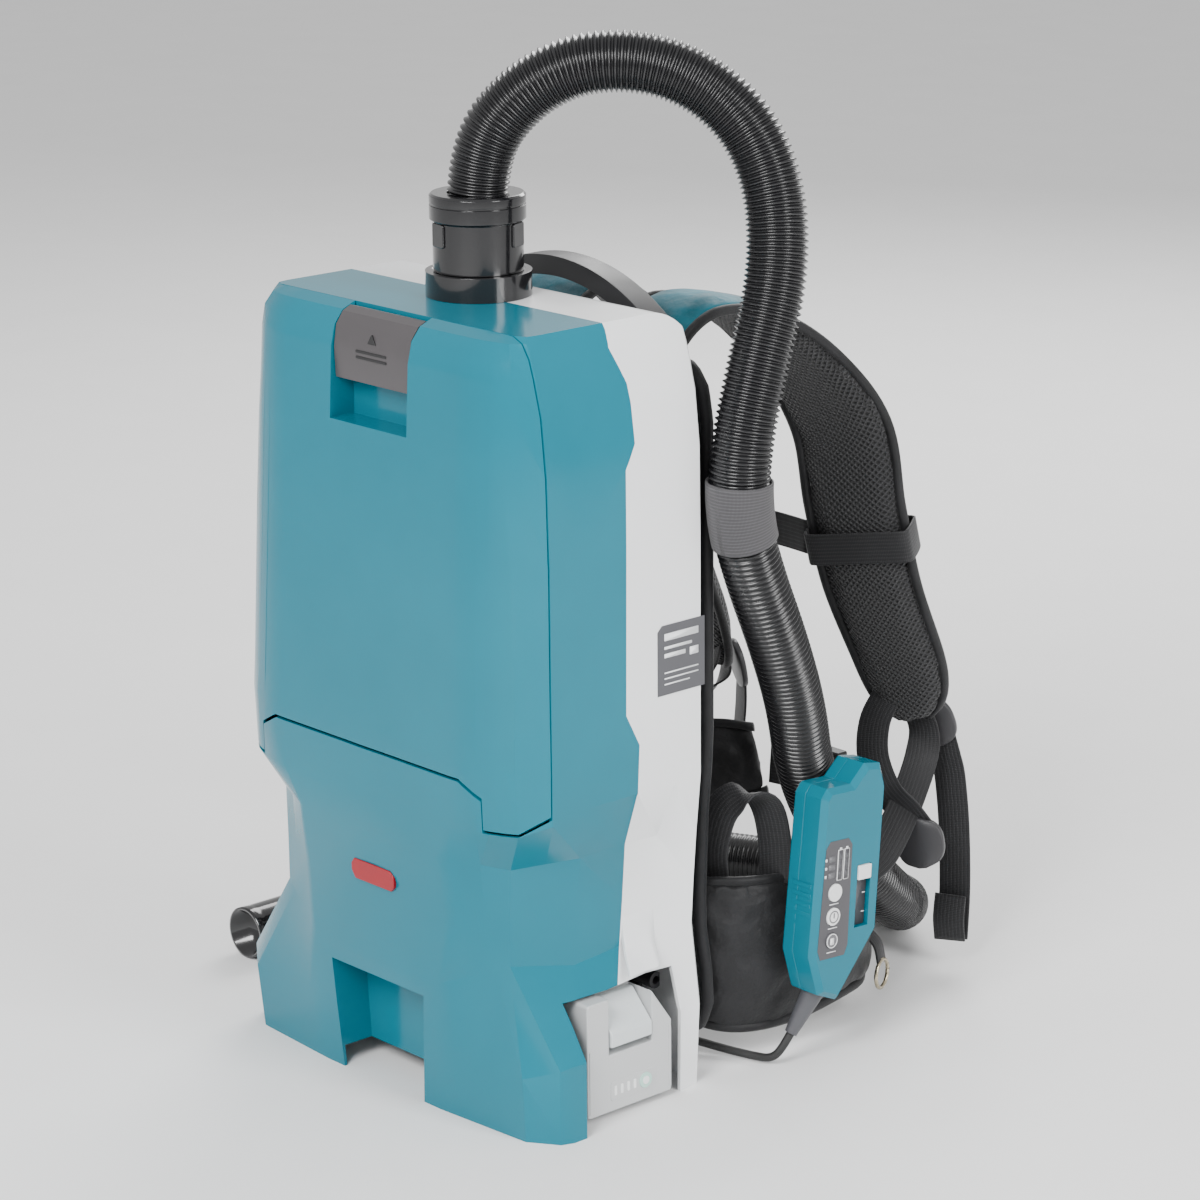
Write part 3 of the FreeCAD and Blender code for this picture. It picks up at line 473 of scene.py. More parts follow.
def rounded(x0, x1, y0, y1, radius, steps=4):
    """Outline of a rectangle with rounded corners."""
    points = []
    for cx, cy, start in ((x1 - radius, y0 + radius, -90), (x1 - radius, y1 - radius, 0),
                          (x0 + radius, y1 - radius, 90), (x0 + radius, y0 + radius, 180)):
        for i in range(steps + 1):
            angle = math.radians(start + 90 * i / steps)
            points.append((cx + radius * math.cos(angle), cy + radius * math.sin(angle)))
    return points


def disc(cx, cy, radius, steps=28):
    """Outline of a circle."""
    return [(cx + radius * math.cos(2 * math.pi * i / steps), cy + radius * math.sin(2 * math.pi * i / steps))
            for i in range(steps)]


make_camera()
make_surroundings()

TEAL_GLOSS = plastic("teal_gloss", TEAL, 0.15, coat=0.12, grain=0.05, shine=0.28)
TEAL_CLOTH = nylon("teal_nylon", (0.0, 0.105, 0.145), wrinkle=0.6)
WHITE_GLOSS = plastic("white_gloss", WHITE, 0.22, coat=0.3, spread=0.015, grain=0.05)
LATCH = plastic("latch_grey", LATCH_GREY, 0.34, grain=0.4)
BLACK_GLOSS = plastic("black_gloss", BLACK, 0.16, coat=0.5, grain=0.05)
BLACK_SATIN = plastic("black_satin", (0.009, 0.009, 0.010), 0.42, grain=0.6)
HOSE_BLACK = plastic("hose_black", BLACK, 0.26, coat=0.15, grain=0.1)
BATTERY = plastic("battery_grey", BATTERY_GREY, 0.38, grain=0.4)
BATTERY_CLEAR = plastic("battery_button_grey", (0.60, 0.64, 0.65), 0.22, coat=0.4)
LABEL = plastic("label_grey", LABEL_GREY, 0.36, grain=0.2)
PRINT = plastic("white_print", (0.78, 0.79, 0.80), 0.4, grain=0.0)
PANEL = plastic("panel_film", (0.065, 0.063, 0.070), 0.42, grain=0.3)
KEY_WHITE = plastic("key_white", (0.80, 0.81, 0.81), 0.25, coat=0.3)
KEY_GREY = plastic("key_grey", (0.13, 0.13, 0.14), 0.35)
RED_GLOSS = plastic("red_gloss", RED, 0.2, coat=0.15, shine=0.3)
STEEL = metal("steel", (0.55, 0.55, 0.57), 0.28)
RING = metal("ring_metal", (0.50, 0.44, 0.32), 0.26, stretch=(6, 6, 6))
CAST = metal("cast_aluminium", (0.60, 0.61, 0.63), 0.42, stretch=(3, 3, 3))
GREY_NYLON = plastic("moulded_nylon", (0.034, 0.033, 0.036), 0.4, grain=0.5)
RUBBER = plastic("rubber", (0.018, 0.018, 0.018), 0.62, grain=0.6)
BOARD = plastic("board", (0.01, 0.08, 0.03), 0.4)
# The paper and fleece carry only faint painted shade and painted highlight in their creases.
PAPER = nylon("filter_paper", (0.50, 0.50, 0.48), wrinkle=0.1, crease_shade=0.06)
FLEECE = nylon("bag_fleece", (0.50, 0.47, 0.40), wrinkle=0.35, crease_shade=0.10)
MESH_CLOTH = spacer_mesh("spacer_mesh", (0.020, 0.020, 0.022))
NYLON = nylon("black_nylon", (0.010, 0.010, 0.011))
BINDING = nylon("binding_tape", (0.009, 0.009, 0.010), wrinkle=0.3)
WEBBING = webbing("webbing", (0.016, 0.016, 0.018))
BAND_CLOTH = webbing("band_cloth", BAND_GREY, rib=0.0009)


# ---- hose and cable
HOSE_ROUTE = [(0, 14, 606), (0, 14, 648), (23, 34, 688), (55, 65, 710), (97, 104, 706), (133, 133, 675),
              (155, 143, 629), (167, 135, 571), (168, 114, 511), (168, 98, 455), (166, 99, 408),
              (163, 117, 363), (159, 144, 310), (150, 171, 256), (132, 197, 200), (119, 237, 142),
              (109, 292, 86), (84, 350, 44), (34, 406, 20), (-38, 410, 20), (-110, 390, 20), (-180, 350, 20),
              (-234, 290, 20), (-260, 218, 20), (-262, 160, 20), (-262, 110, 20)]
CABLE_ROUTE = [(172, 145, 24), (169.5, 138.2, 11.9), (163, 134, 5), (150, 131, 4), (128, 123, 5),
               (106, 112, 9), (90, 99, 12), (84, 80, 14)]
# The hose in millimetres: its rib spacing, the radii along one rib, its bore and its smooth ends
RIB_PITCH = 4.1
RIB_SHAPE = [18.9, 18.9, 19.9, 21.1, 21.1, 19.9]
HOSE_BORE = 17.2
HOSE_END_RADII = (19.5, 19.7)


def metres(route):
    """Route in metres."""
    return [tuple(c * MM for c in point) for point in route]


def make_hose():
    """Ribbed hose and the smooth pipe at its end. Returns the hose's path."""
    path, length = spline_points("hose_line", metres(HOSE_ROUTE), RIB_PITCH * MM / len(RIB_SHAPE))
    radii = np.array([RIB_SHAPE[i % len(RIB_SHAPE)] for i in range(len(path))])
    # Smooth where it enters the cuff and the pipe
    radii[:14] = HOSE_END_RADII[0]
    radii[-6:] = HOSE_END_RADII[1]
    # No rib reaches below the floor
    radii = np.minimum(radii * MM, path[:, 2])
    hose = round_sweep("suction_hose", path, radii, 30, HOSE_BLACK, bore=HOSE_BORE * MM)
    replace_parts(hose, "hose")
    end_low, end_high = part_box("hose_end_pipe")
    pipe_x, pipe_z = (end_low.x + end_high.x) / 2, (end_low.z + end_high.z) / 2
    pipe_run = np.array([(pipe_x, y, pipe_z) for y in np.linspace(end_high.y, end_low.y, 60)])
    wall, collar, groove = 0.0197, 0.0200, 0.0192
    pipe_radii = np.full(len(pipe_run), wall)
    pipe_radii[:14] = collar
    pipe_radii[14:17] = groove
    pipe_radii[-4:] = collar
    pipe = round_sweep("hose_end", pipe_run, pipe_radii, 48, BLACK_GLOSS, bore=0.0178)
    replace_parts(pipe, "hose_end_pipe")
    return path


def make_cable():
    """Lead from the control box's relief to the back of the housing."""
    path, length = spline_points("cable_line", metres(CABLE_ROUTE), 0.002)
    cable = round_sweep("control_lead", path, np.full(len(path), 0.003), 16, RUBBER)
    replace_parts(cable, "control_cable")


HOSE_PATH = make_hose()
make_cable()


# ---- rigid nodes kept from the frame
# Node: its material, and how far its edges are rounded in millimetres
KEPT = {
    "front_housing": (TEAL_GLOSS, 2.6), "rear_housing": (WHITE_GLOSS, 2.6), "lid": (TEAL_GLOSS, 2.0),
    "lid_hinge_pins": (STEEL, 0.2), "lid_latch": (LATCH, 1.2), "latch_pin": (STEEL, 0.2),
    "latch_spring": (STEEL, 0), "inlet_ring": (BLACK_GLOSS, 0.8), "hose_cuff": (BLACK_GLOSS, 0.6),
    "inlet_pipe": (BLACK_SATIN, 0.3), "bag_chamber": (BLACK_SATIN, 0.8), "lid_gasket": (RUBBER, 0.8),
    "bag_collar": (BATTERY, 0.6), "dust_bag": (FLEECE, 0.5), "hepa_filter": (PAPER, 0.8),
    "motor_housing": (CAST, 0.8), "motor_stator": (STEEL, 0.4), "motor_rotor": (STEEL, 0.4),
    "motor_shaft": (STEEL, 0.3), "motor_bearings": (STEEL, 0.3), "impeller": (CAST, 0.2),
    "motor_mounts": (RUBBER, 0.6), "controller_board": (BOARD, 0.3), "battery_right": (BATTERY, 1.2),
    "battery_left": (BATTERY, 1.2), "battery_button_right": (BATTERY_CLEAR, 1.2),
    "battery_button_left": (BATTERY_CLEAR, 1.2), "battery_docks": (BLACK_SATIN, 0.5),
    "base_plate": (BLACK_SATIN, 0.8), "rating_plate": (LABEL, 0.15), "front_badge": (RED_GLOSS, 0.5),
    "carry_handle": (BLACK_SATIN, 2.5), "back_panel": (BLACK_SATIN, 1.2), "housing_screws": (STEEL, 0.3),
    "strap_buckles": (BLACK_SATIN, 2.0), "control_box_front": (TEAL_GLOSS, 1.5),
    "control_box_rear": (TEAL_GLOSS, 1.0), "control_panel": (PANEL, 0.15), "mode_button": (KEY_WHITE, 0.5),
    "power_button": (KEY_WHITE, 0.5), "gauge_button": (KEY_GREY, 0.5), "control_lever": (KEY_WHITE, 0.8),
    "belt_clip": (BLACK_SATIN, 0.6), "cable_relief": (LABEL, 0.6),
}


def dress_nodes():
    """Gives each kept node its material and rounds its edges by the stated millimetres."""
    for name, (material, edge) in KEPT.items():
        node = NODES[name]
        mesh = node.data
        if "custom_normal" in mesh.attributes:
            mesh.attributes.remove(mesh.attributes["custom_normal"])
        mesh.materials.clear()
        mesh.materials.append(material)
        for polygon in mesh.polygons:
            polygon.use_smooth = True
            polygon.material_index = 0
        weld = node.modifiers.new("weld", "WELD")
        weld.merge_threshold = 0.00002
        flat = node.modifiers.new("flat", "DECIMATE")
        flat.decimate_type = "DISSOLVE"
        flat.angle_limit = math.radians(0.6)
        if edge:
            finish_edges(node, edge * MM)


dress_nodes()


# ---- harness
def padded_section(edge=0.34, roll=0.42, channel=0.80):
    """Section of a padded strap: a thick core, a sewn channel and a flatter bound edge."""
    half = [(0.0, 1.0), (0.25, 0.99), (0.48, 0.95), (0.64, 0.84), (0.74, 0.60), (channel, edge), (0.86, roll),
            (0.94, roll), (0.985, roll * 0.75), (1.0, 0.0)]
    upper = [(-u, v) for u, v in reversed(half)] + half[1:]
    lower = [(u, -v) for u, v in reversed(upper)][1:-1]
    return upper + lower


def stations(points, across):
    """Stations of a strip from (x, y, z, width) in millimetres, all lying across one direction."""
    return [(*point, *across) for point in points]


# Directions across the straps at the chest and beside the belt, and straight up
CHEST = (0.89, 0.455, 0)
SLANT = (0.585, 0.496, -0.351)
UPRIGHT = (0, 0, 1)

SHOULDER = (stations([(60, 108, 446, 68), (60, 108, 484, 70), (58, 118, 514, 72), (60, 150, 532, 75)],
                     (1, 0, 0))
            + [(66, 195, 521, 75, 1, 0.15, 0), (78, 240, 484, 75, 1, 0.32, 0)]
            + stations([(90, 275, 430, 75), (95, 285, 370, 75), (98, 300, 310, 74), (101, 326, 250, 70),
                        (102, 336, 224, 62), (103, 341, 208, 46), (103.5, 344, 199, 24)], CHEST))
BELT_RIGHT = [(96, 106.5, 80, 102), (120, 110, 80, 113), (139, 130, 78, 117), (148, 166, 75, 113),
              (149, 208, 68, 94), (142, 244, 57, 66), (126, 266, 47, 42)]
BELT_LEFT = [(-96, 106.5, 74, 92), (-120, 110, 74, 101), (-141, 134, 76, 105), (-152, 182, 82, 101),
             (-147, 236, 92, 93), (-124, 290, 106, 85), (-93, 328, 118, 75), (-64, 348, 126, 55)]


def mirror(rows):
    """The same stations on the other side of the body."""
    return [(-x, y, z, w, -ax, ay, az) for x, y, z, w, ax, ay, az in rows]


def puff(obj, cap, creases=0.0, pressure=4.0, voxel=0.0055, frames=16):
    """Swells a soft piece with a short cloth simulation, by no more than cap, and then creases it."""
    pattern = obj.copy()
    pattern.data = obj.data.copy()
    SCENE.collection.objects.link(pattern)
    remesh = obj.modifiers.new("remesh", "REMESH")
    remesh.mode = "VOXEL"
    remesh.voxel_size = voxel
    remesh.use_smooth_shade = True
    bake_modifiers(obj)
    rest = np.array([v.co for v in obj.data.vertices])
    cloth = obj.modifiers.new("cloth", "CLOTH")
    cloth.settings.use_pressure = True
    cloth.settings.uniform_pressure_force = pressure
    cloth.settings.effector_weights.gravity = 0
    cloth.settings.tension_stiffness = 22
    cloth.settings.quality = 4
    for frame_number in range(1, frames + 1):
        SCENE.frame_set(frame_number)
    bake_modifiers(obj)
    SCENE.frame_set(1)
    move = np.array([v.co for v in obj.data.vertices]) - rest
    size = np.linalg.norm(move, axis=1)[:, None]
    move = np.where(size > cap, move / np.maximum(size, 1e-9) * cap, move)
    normals = np.array([v.normal for v in obj.data.vertices])
    places = rest + move
    places += normals * (creases * fold_pattern(places))[:, None]
    obj.data.vertices.foreach_set("co", places.astype(np.float32).ravel())
    obj.data.update()
    obj.modifiers.new("smooth", "SUBSURF").levels = 1
    bake_modifiers(obj)
    copy_cloth(pattern, obj)
    bpy.data.objects.remove(pattern)


def fold_pattern(places):
    """Height of irregular folds at each place, from -1.25 to 0."""
    x, y, z = places.T
    run = 95 * z + 2.2 * np.sin(41 * y + 17 * x) + 1.5 * np.sin(63 * x - 38 * y)
    fine = np.sin(150 * (x + y) + 2.0 * np.sin(70 * z))
    return -np.abs(np.sin(run)) ** 6 * (0.6 + 0.4 * fine) - 0.25 * np.abs(fine) ** 3


def copy_cloth(source, target):
    """Gives each vertex of target the place on the cloth of the nearest point of source."""
    corners = [list(polygon.vertices) for polygon in source.data.polygons]
    spots = [v.co.copy() for v in source.data.vertices]
    values = np.array([item.vector for item in source.data.attributes["cloth"].data])
    places = []
    for vertex in target.data.vertices:
        _, place, _, face = source.closest_point_on_mesh(vertex.co)
        near = corners[face]
        places.append(np.array(poly_3d_calc([spots[k] for k in near], place)) @ values[near])
    set_cloth(target, places)


def bake_modifiers(obj):
    """Replaces an object's mesh by what its modifiers make of it."""
    graph = bpy.context.evaluated_depsgraph_get()
    mesh = bpy.data.meshes.new_from_object(obj.evaluated_get(graph))
    old = obj.data
    materials = list(old.materials)
    obj.modifiers.clear()
    obj.data = mesh
    mesh.materials.clear()
    for material in materials:
        mesh.materials.append(material)
    for polygon in mesh.polygons:
        polygon.use_smooth = True
    bpy.data.meshes.remove(old)


def edge_tape(name, route, share, thickness, width):
    """Binding tape rolled round one side edge of a strip."""
    tape = strip(name, route, thickness, BINDING, ROUND_SECTION, share=share, width=width)


def cover_top(pad):
    """Teal nylon sewn over the upper face of a pad where it crosses the shoulder."""
    start_y, end_y, least_rise = 0.118, 0.232, 0.30
    pad.data.materials.append(TEAL_CLOTH)
    for polygon in pad.data.polygons:
        if start_y < polygon.center.y < end_y and polygon.normal.z > least_rise:
            polygon.material_index = 1


def make_shoulder_pads():
    """Spacer-mesh shoulder pads with taped edges and a teal top."""
    for side, route in (("right", SHOULDER), ("left", mirror(SHOULDER))):
        pad = strip("shoulder_%s" % side, route, 16.5, MESH_CLOTH, padded_section(), spacing=5)
        puff(pad, 0.0025, creases=0.0005)
        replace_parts(pad, "shoulder_pad_%s" % side)
        cover_top(pad)
        for edge, share in (("inner", -0.93), ("outer", 0.93)):
            edge_tape("shoulder_%s_%s_tape" % (side, edge), route, share, 7.5, 7.5)


def ring_stations(centre, across, out, half_width, half_depth, width):
    """Stations of a flat loop round a pad's section, with rounded corners."""
    across, out = Vector(across).normalized(), Vector(out).normalized()
    points = []
    for u, v in ((-1, -0.55), (-0.93, -1), (-0.4, -1.04), (0.4, -1.04), (0.93, -1), (1, -0.55), (1, 0.55),
                 (0.93, 1), (0.4, 1.04), (-0.4, 1.04), (-0.93, 1), (-1, 0.55), (-1, -0.55)):
        spot = Vector(centre) + across * (u * half_width) + out * (v * half_depth)
        points.append((*spot, width))
    return stations(points, across.cross(out))


def make_back_cushion():
    """Back pad: a crowned cushion with a sewn middle channel, bound round its edge."""
    low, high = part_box("back_pad")
    front_y, back_y = low.y + 0.0003, high.y + 0.008
    half = [(0, 24), (60, 24), (118, 25), (130, 34), (136, 50), (135, 72), (129, 105), (128.5, 130),
            (131, 190), (134.5, 225), (136, 250), (136, 360), (136, 470), (132, 492), (122, 505), (100, 508),
            (50, 508), (0, 508)]
    outline = [(x * MM, z * MM) for x, z in half] + [(-x * MM, z * MM) for x, z in reversed(half[1:-1])]
    middle_z = 0.266
    # From the rim inward: the share of the outline, and the share of the cushion's full height
    crown = [(1.0, 0.45), (0.985, 0.72), (0.96, 0.78), (0.93, 0.70), (0.905, 0.42), (0.88, 0.72), (0.8, 0.96),
             (0.66, 1.0), (0.5, 1.0), (0.3, 1.0), (0.12, 1.0)]
    rim_share, channel_x, channel_width, channel_depth = 0.88, 0.012, 0.010, 0.45
    vertices = []
    for share, height in crown:
        for x, z in outline:
            depth = channel_depth if share < rim_share else 0
            channel = 1.0 - depth * math.exp(-((abs(x * share) - channel_x) / channel_width) ** 2)
            y = front_y + (back_y - front_y) * height * channel
            vertices.append((x * share, y, middle_z + (z - middle_z) * share))
    count, top = len(outline), len(vertices)
    faces = side_faces(len(crown), count)
    faces.append(tuple(range(top - count, top)))
    vertices += [(x, front_y, z) for x, z in outline]
    faces += [(k, (k + 1) % count, top + (k + 1) % count, top + k) for k in range(count)]
    faces.append(tuple(reversed(range(top, top + count))))
    pad = add_object("back_cushion", vertices, faces, MESH_CLOTH)
    face_outward(pad)
    set_cloth(pad, [(v.co.x, v.co.z, 0) for v in pad.data.vertices])
    smooth = pad.modifiers.new("smooth", "SUBSURF")
    smooth.levels = smooth.render_levels = 2
    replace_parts(pad, "back_pad")
    middle_y = (front_y + back_y) / 2
    rim = outline[:len(half)] + [(-x, z) for x, z in reversed(outline[:len(half) - 1])]
    dense, _ = resample(np.array([(x, middle_y, z) for x, z in rim]), 0.006)
    tape = round_sweep("back_cushion_tape", dense, np.full(len(dense), 0.0048), 10, BINDING)


def make_belts():
    """Padded nylon wings of the waist belt, with taped edges."""
    for side, points in (("right", BELT_RIGHT), ("left", BELT_LEFT)):
        route = stations(points, UPRIGHT)
        wing = strip("belt_%s" % side, route, 12.5, NYLON, padded_section(0.5, 0.5, 0.84))
        puff(wing, 0.002, creases=0.0024)
        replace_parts(wing, "waist_belt_%s" % side)
        for edge, share in (("lower", -0.94), ("upper", 0.94)):
            edge_tape("belt_%s_%s_tape" % (side, edge), route, share, 6.5, 7.5)


def webbing_strip(name, route, thickness=2.0, spacing=4):
    """Strip of plain webbing."""
    piece = strip(name, route, thickness, WEBBING, spacing=spacing)
    return piece


def make_lower_straps():
    """Straps from the foot of each shoulder pad to the belt and their loose ends, from (x, y, z, width)."""
    loose = [(106, 366.5, 190, 22), (107, 369, 178, 22), (109, 371, 164, 24), (112, 373, 148, 24)]
    right = [
        stations([(102, 344, 208, 22), (105, 351, 188, 23)], CHEST)
        + stations([(108, 346, 170, 25), (117, 325, 150, 25), (135, 290, 134, 25), (150, 258, 124, 25),
                    (155, 236, 119, 25)], SLANT),
        stations([(91, 326, 218, 22), (88, 316, 198, 24), (96, 306, 176, 24), (112, 302, 155, 24),
                  (126, 309, 140, 24), (136, 314, 127, 24)], CHEST),
        stations(loose + [(116, 374, 110, 24), (118, 374, 62, 24), (119, 371, 22, 24)], CHEST),
        stations([(121, 366, 58, 24), (122, 363, 40, 24), (121, 366, 22, 24)], CHEST)]
    mirrored_left = [
        stations([(102, 344, 208, 22), (105, 350, 190, 23)], CHEST)
        + stations([(109, 342, 176, 25), (116, 326, 168, 25), (128, 300, 162, 25), (139, 276, 157, 25),
                    (148, 256, 152, 25)], SLANT),
        stations([(91, 326, 218, 22), (89, 316, 202, 24), (104, 308, 186, 24), (122, 306, 178, 24),
                  (138, 312, 172, 24), (149, 315, 163, 24)], CHEST),
        stations(loose + [(116, 374, 120, 24), (118, 373, 84, 24)], CHEST)]
    for side, routes in (("right", right), ("left", [mirror(route) for route in mirrored_left])):
        for i, route in enumerate(routes):
            strap = webbing_strip("lower_strap_%s_%d" % (side, i + 1), route)
            if i == 0:
                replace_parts(strap, "shoulder_webbing_%s" % side)


def make_chest_straps():
    """On each side: half of the chest strap, its loop round the pad, and the stabiliser loop by the belt."""
    height = 343
    for side, name, stabiliser_lift in ((1, "right", 0), (-1, "left", 8)):
        half = [(62.5 * side, 270, height, 25), (40 * side, 272, height, 25), (16 * side, 273, height, 25)]
        webbing_strip("chest_strap_%s" % name, stations(half, UPRIGHT))
        ring = ring_stations((96.3 * side, 291.8, height), (0.89 * side, 0.455, 0.12),
                             (-0.455 * side, 0.86, 0.23), 38.8, 12.6, 25)
        loop = webbing_strip("chest_loop_%s" % name, ring, thickness=1.8, spacing=3)
        points = [(x * side, y, z + stabiliser_lift, 25) for x, y, z in
                  ((114, 124, 129), (117, 120, 155), (124, 124, 184), (134, 136, 195), (141, 150, 186),
                   (144, 156, 160), (144, 158, 127))]
        stabiliser = webbing_strip("stabiliser_%s" % name, stations(points, (side, 0.5, 0)))
        if side == 1:
            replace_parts(loop, "sternum_strap")
            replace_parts(stabiliser, "stabiliser_loops")


def make_belt_ends():
    """Wide webbing from each wing of the belt to its half of the buckle."""
    right = stations([(119, 271, 45, 38), (104, 277, 42, 38), (91, 279, 40, 38)], UPRIGHT)
    left = stations([(-57, 352, 126, 38), (-42, 357, 125, 38), (-27, 359, 124, 38)], UPRIGHT)
    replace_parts(webbing_strip("belt_end_right", right), "belt_webbing")
    webbing_strip("belt_end_left", left)


def rounded_plate(name, start, end, width, across, thickness):
    """Plate with an oval outline between two points."""
    start, end = Vector(start), Vector(end)
    steps, least_share = 12, 0.16
    points = []
    for i in range(steps + 1):
        share = i / steps
        swell = max(least_share, (1 - abs(2 * share - 1) ** 2.6) ** 0.5)
        points.append((*start.lerp(end, share), width * swell))
    plate = strip(name, stations(points, across), thickness, GREY_NYLON, spacing=1.6)
    return plate


def make_adjusters():
    """Pull tab under each shoulder pad and ladder buckle on each lower strap."""
    for side, name, shift in ((1, "right", (0, 0, 0)), (-1, "left", (-14, 2, 36))):
        across = (CHEST[0] * side, *CHEST[1:])
        top, foot = (101.5 * side, 356, 211), (107.5 * side, 369, 173)
        tab = rounded_plate("pull_tab_" + name, top, foot, 33, across, 4.6)
        top = Vector((135 * side, 313, 135)) + Vector(shift)
        foot = Vector((143.5 * side, 312, 99)) + Vector(shift)
        rounded_plate("ladder_buckle_" + name, top, foot, 36, across, 6.4)
        if side == 1:
            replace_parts(tab, "strap_adjusters")


def make_d_ring():
    """Metal ring hanging from a short loop sewn to the right belt."""
    low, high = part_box("d_ring")
    radius, wire = 0.0105, 0.0015
    centre = np.array([(low.x + high.x) / 2, (low.y + high.y) / 2, low.z + radius + wire])
    along = np.array([-0.35, 0.94, 0.0])
    up = np.array([0.0, 0.0, 1.0])
    angles = np.linspace(0, 2 * math.pi, 49)
    path = np.array([centre + radius * (math.cos(a) * along + math.sin(a) * up) for a in angles])
    ring = round_sweep("belt_ring", path, np.full(len(path), wire), 14, RING)
    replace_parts(ring, "d_ring")
    x, y, z = (centre + up * radius) / MM
    webbing_strip("belt_ring_loop", stations([(x - 12, y - 6, z + 22, 13), (x - 4, y - 1, z + 12, 13),
                                              (x - 0.5, y, z - 1.5, 13)], along), spacing=2)


def make_hose_band():
    """Grey band round the hose, with its tongue sewn to the back pad."""
    low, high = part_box("hose_band")
    path = np.array([p for p in HOSE_PATH if low.z <= p[2] <= high.z and p[0] > 0.15])[::3]
    _, first, second = frames_along(path)
    inner, outer, sides, cloth_step = 0.0216, 0.0232, 40, 0.0036
    inside = [(i, inner) for i in range(len(path))]
    outside = [(i, outer) for i in reversed(range(len(path)))]
    vertices, cloth = [], []
    for i, radius in inside + outside:
        for k in range(sides):
            angle = 2 * math.pi * k / sides
            vertices.append(path[i] + radius * (math.cos(angle) * first[i] + math.sin(angle) * second[i]))
            cloth.append((path[i][2], k * cloth_step, 0))
    faces = side_faces(2 * len(path), sides, flip=True, closed=True)
    band = add_object("hose_tie_band", vertices, faces, BAND_CLOTH)
    set_cloth(band, cloth)
    face_outward(band)
    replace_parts(band, "hose_band")
    middle = (low.z + high.z) / 2 / MM
    route = stations([(136.4, 97.6, middle, 43), (140, 98.0, middle, 43), (145.5, 99.5, middle, 43)], UPRIGHT)
    tongue = strip("hose_band_tongue", route, 2.0, BAND_CLOTH, spacing=2)


make_shoulder_pads()
make_back_cushion()
make_belts()
make_lower_straps()
make_chest_straps()
make_belt_ends()
make_adjusters()
make_d_ring()
make_hose_band()


# ---- printed and moulded details
BOX_PLACE = Matrix.Translation((0, 0.183, 0.135)) @ Matrix.Rotation(math.radians(-4), 4, "X")


def box_print(name, outline, low, high, material, body="body", edge=0):
    """A thin piece on the control box, drawn in the box's own tilted axes in millimetres."""
    piece = prism(name, outline, "X", low, high, material, body, edge=edge, place=BOX_PLACE)


def box_ring(name, cy, cz, outer, inner, low, high, material):
    """Flat ring round the edge of a button, in the control box's axes. It rides on the button's body."""
    steps = 32
    vertices = []
    for x, radius in ((low, inner), (low, outer), (high, outer), (high, inner)):
        vertices += [BOX_PLACE @ (Vector((x, y, z)) * MM) for y, z in disc(cy, cz, radius, steps)]
    faces = side_faces(4, steps, closed=True)
    add_object(name + "_ring", vertices, faces, material, name, smooth=False)


def make_speed_lamps(low, high):
    """Three lamps on the panel with a small mark beside each."""
    for i, z in enumerate((6, 12, 18)):
        lamp = rounded(-27, -20.5, z, z + 4.2, 1.0)
        mark = rounded(-30.4, -28.6, z + 1, z + 3, 0.4)
        box_print("speed_lamp_%d" % (i + 1), lamp, low, high, KEY_GREY)
        box_print("speed_mark_%d" % (i + 1), mark, low, high, PRINT)


def make_gauges(low, face, high):
    """Two battery gauges: a frame, a dark field, a tip and three cells each."""
    for i, y in enumerate((-15.6, -9.4)):
        name = "gauge_%d_" % (i + 1)
        field = rounded(y - 2.1, y + 2.1, 4.0, 25.5, 0.6)
        box_print(name + "frame", rounded(y - 2.6, y + 2.6, 3.5, 26, 0.8), low, high, PRINT)
        box_print(name + "field", field, face, high + 0.1, PANEL)
        box_print(name + "tip", rounded(y - 1, y + 1, 26, 27.4, 0.3), low, high, PRINT)
        for j in range(3):
            cell = rounded(y - 1.4, y + 1.4, 6 + j * 6.4, 10.4 + j * 6.4, 0.4)
            box_print(name + "cell_%d" % (j + 1), cell, high, high + 0.2, LABEL)


def make_button_marks(low, high):
    """A ring and a sign on the power button and on the gauge button."""
    box_ring("power_button", -19.5, -22.5, 4.6, 3.7, low, high, KEY_GREY)
    box_ring("gauge_button", -20, -40, 5.3, 4.7, low, high, PRINT)
    stem = rounded(-20.0, -19.0, -23.5, -19.6, 0.4)
    box_print("power_button_stem", stem, low, high, KEY_GREY, "power_button")
    battery = rounded(-21.8, -18.2, -43, -38, 0.6)
    box_print("gauge_button_icon", battery, low, high, PRINT, "gauge_button")


def make_box_details():
    """Prints on the panel and its buttons, the lever's track and marks, and the grip ribs."""
    face, sunk, print_height = 196.3, 0.1, 0.35
    low, high = face - sunk, face + print_height
    make_speed_lamps(low, high)
    make_gauges(low, face, high)
    make_button_marks(197.2, 197.5)
    for i in range(3):
        z = -13.6 - i * 17.6
        line = rounded(-24, -15, z, z + 0.6, 0.2)
        box_print("panel_line_%d" % (i + 1), line, low, high, PRINT)
    box_print("lever_track", rounded(3.3, 16.2, -34.6, 10.6, 1.2), 192.0, 192.35, PANEL)
    for i, z in enumerate((-12, -26)):
        tick = rounded(13, 16, z, z + 0.8, 0.3)
        box_print("lever_tick_%d" % (i + 1), tick, 192.2, 192.39, PRINT)
    for i in range(7):
        z = 2 - i * 7
        y = -37.0 - 0.03 * i
        rib = [(y, z), (-35.2, z - 0.8), (-35.2, z - 2.6), (y, z - 3.4)]
        box_print("grip_rib_%d" % (i + 1), rib, 172, 190, TEAL_GLOSS, edge=0.3)


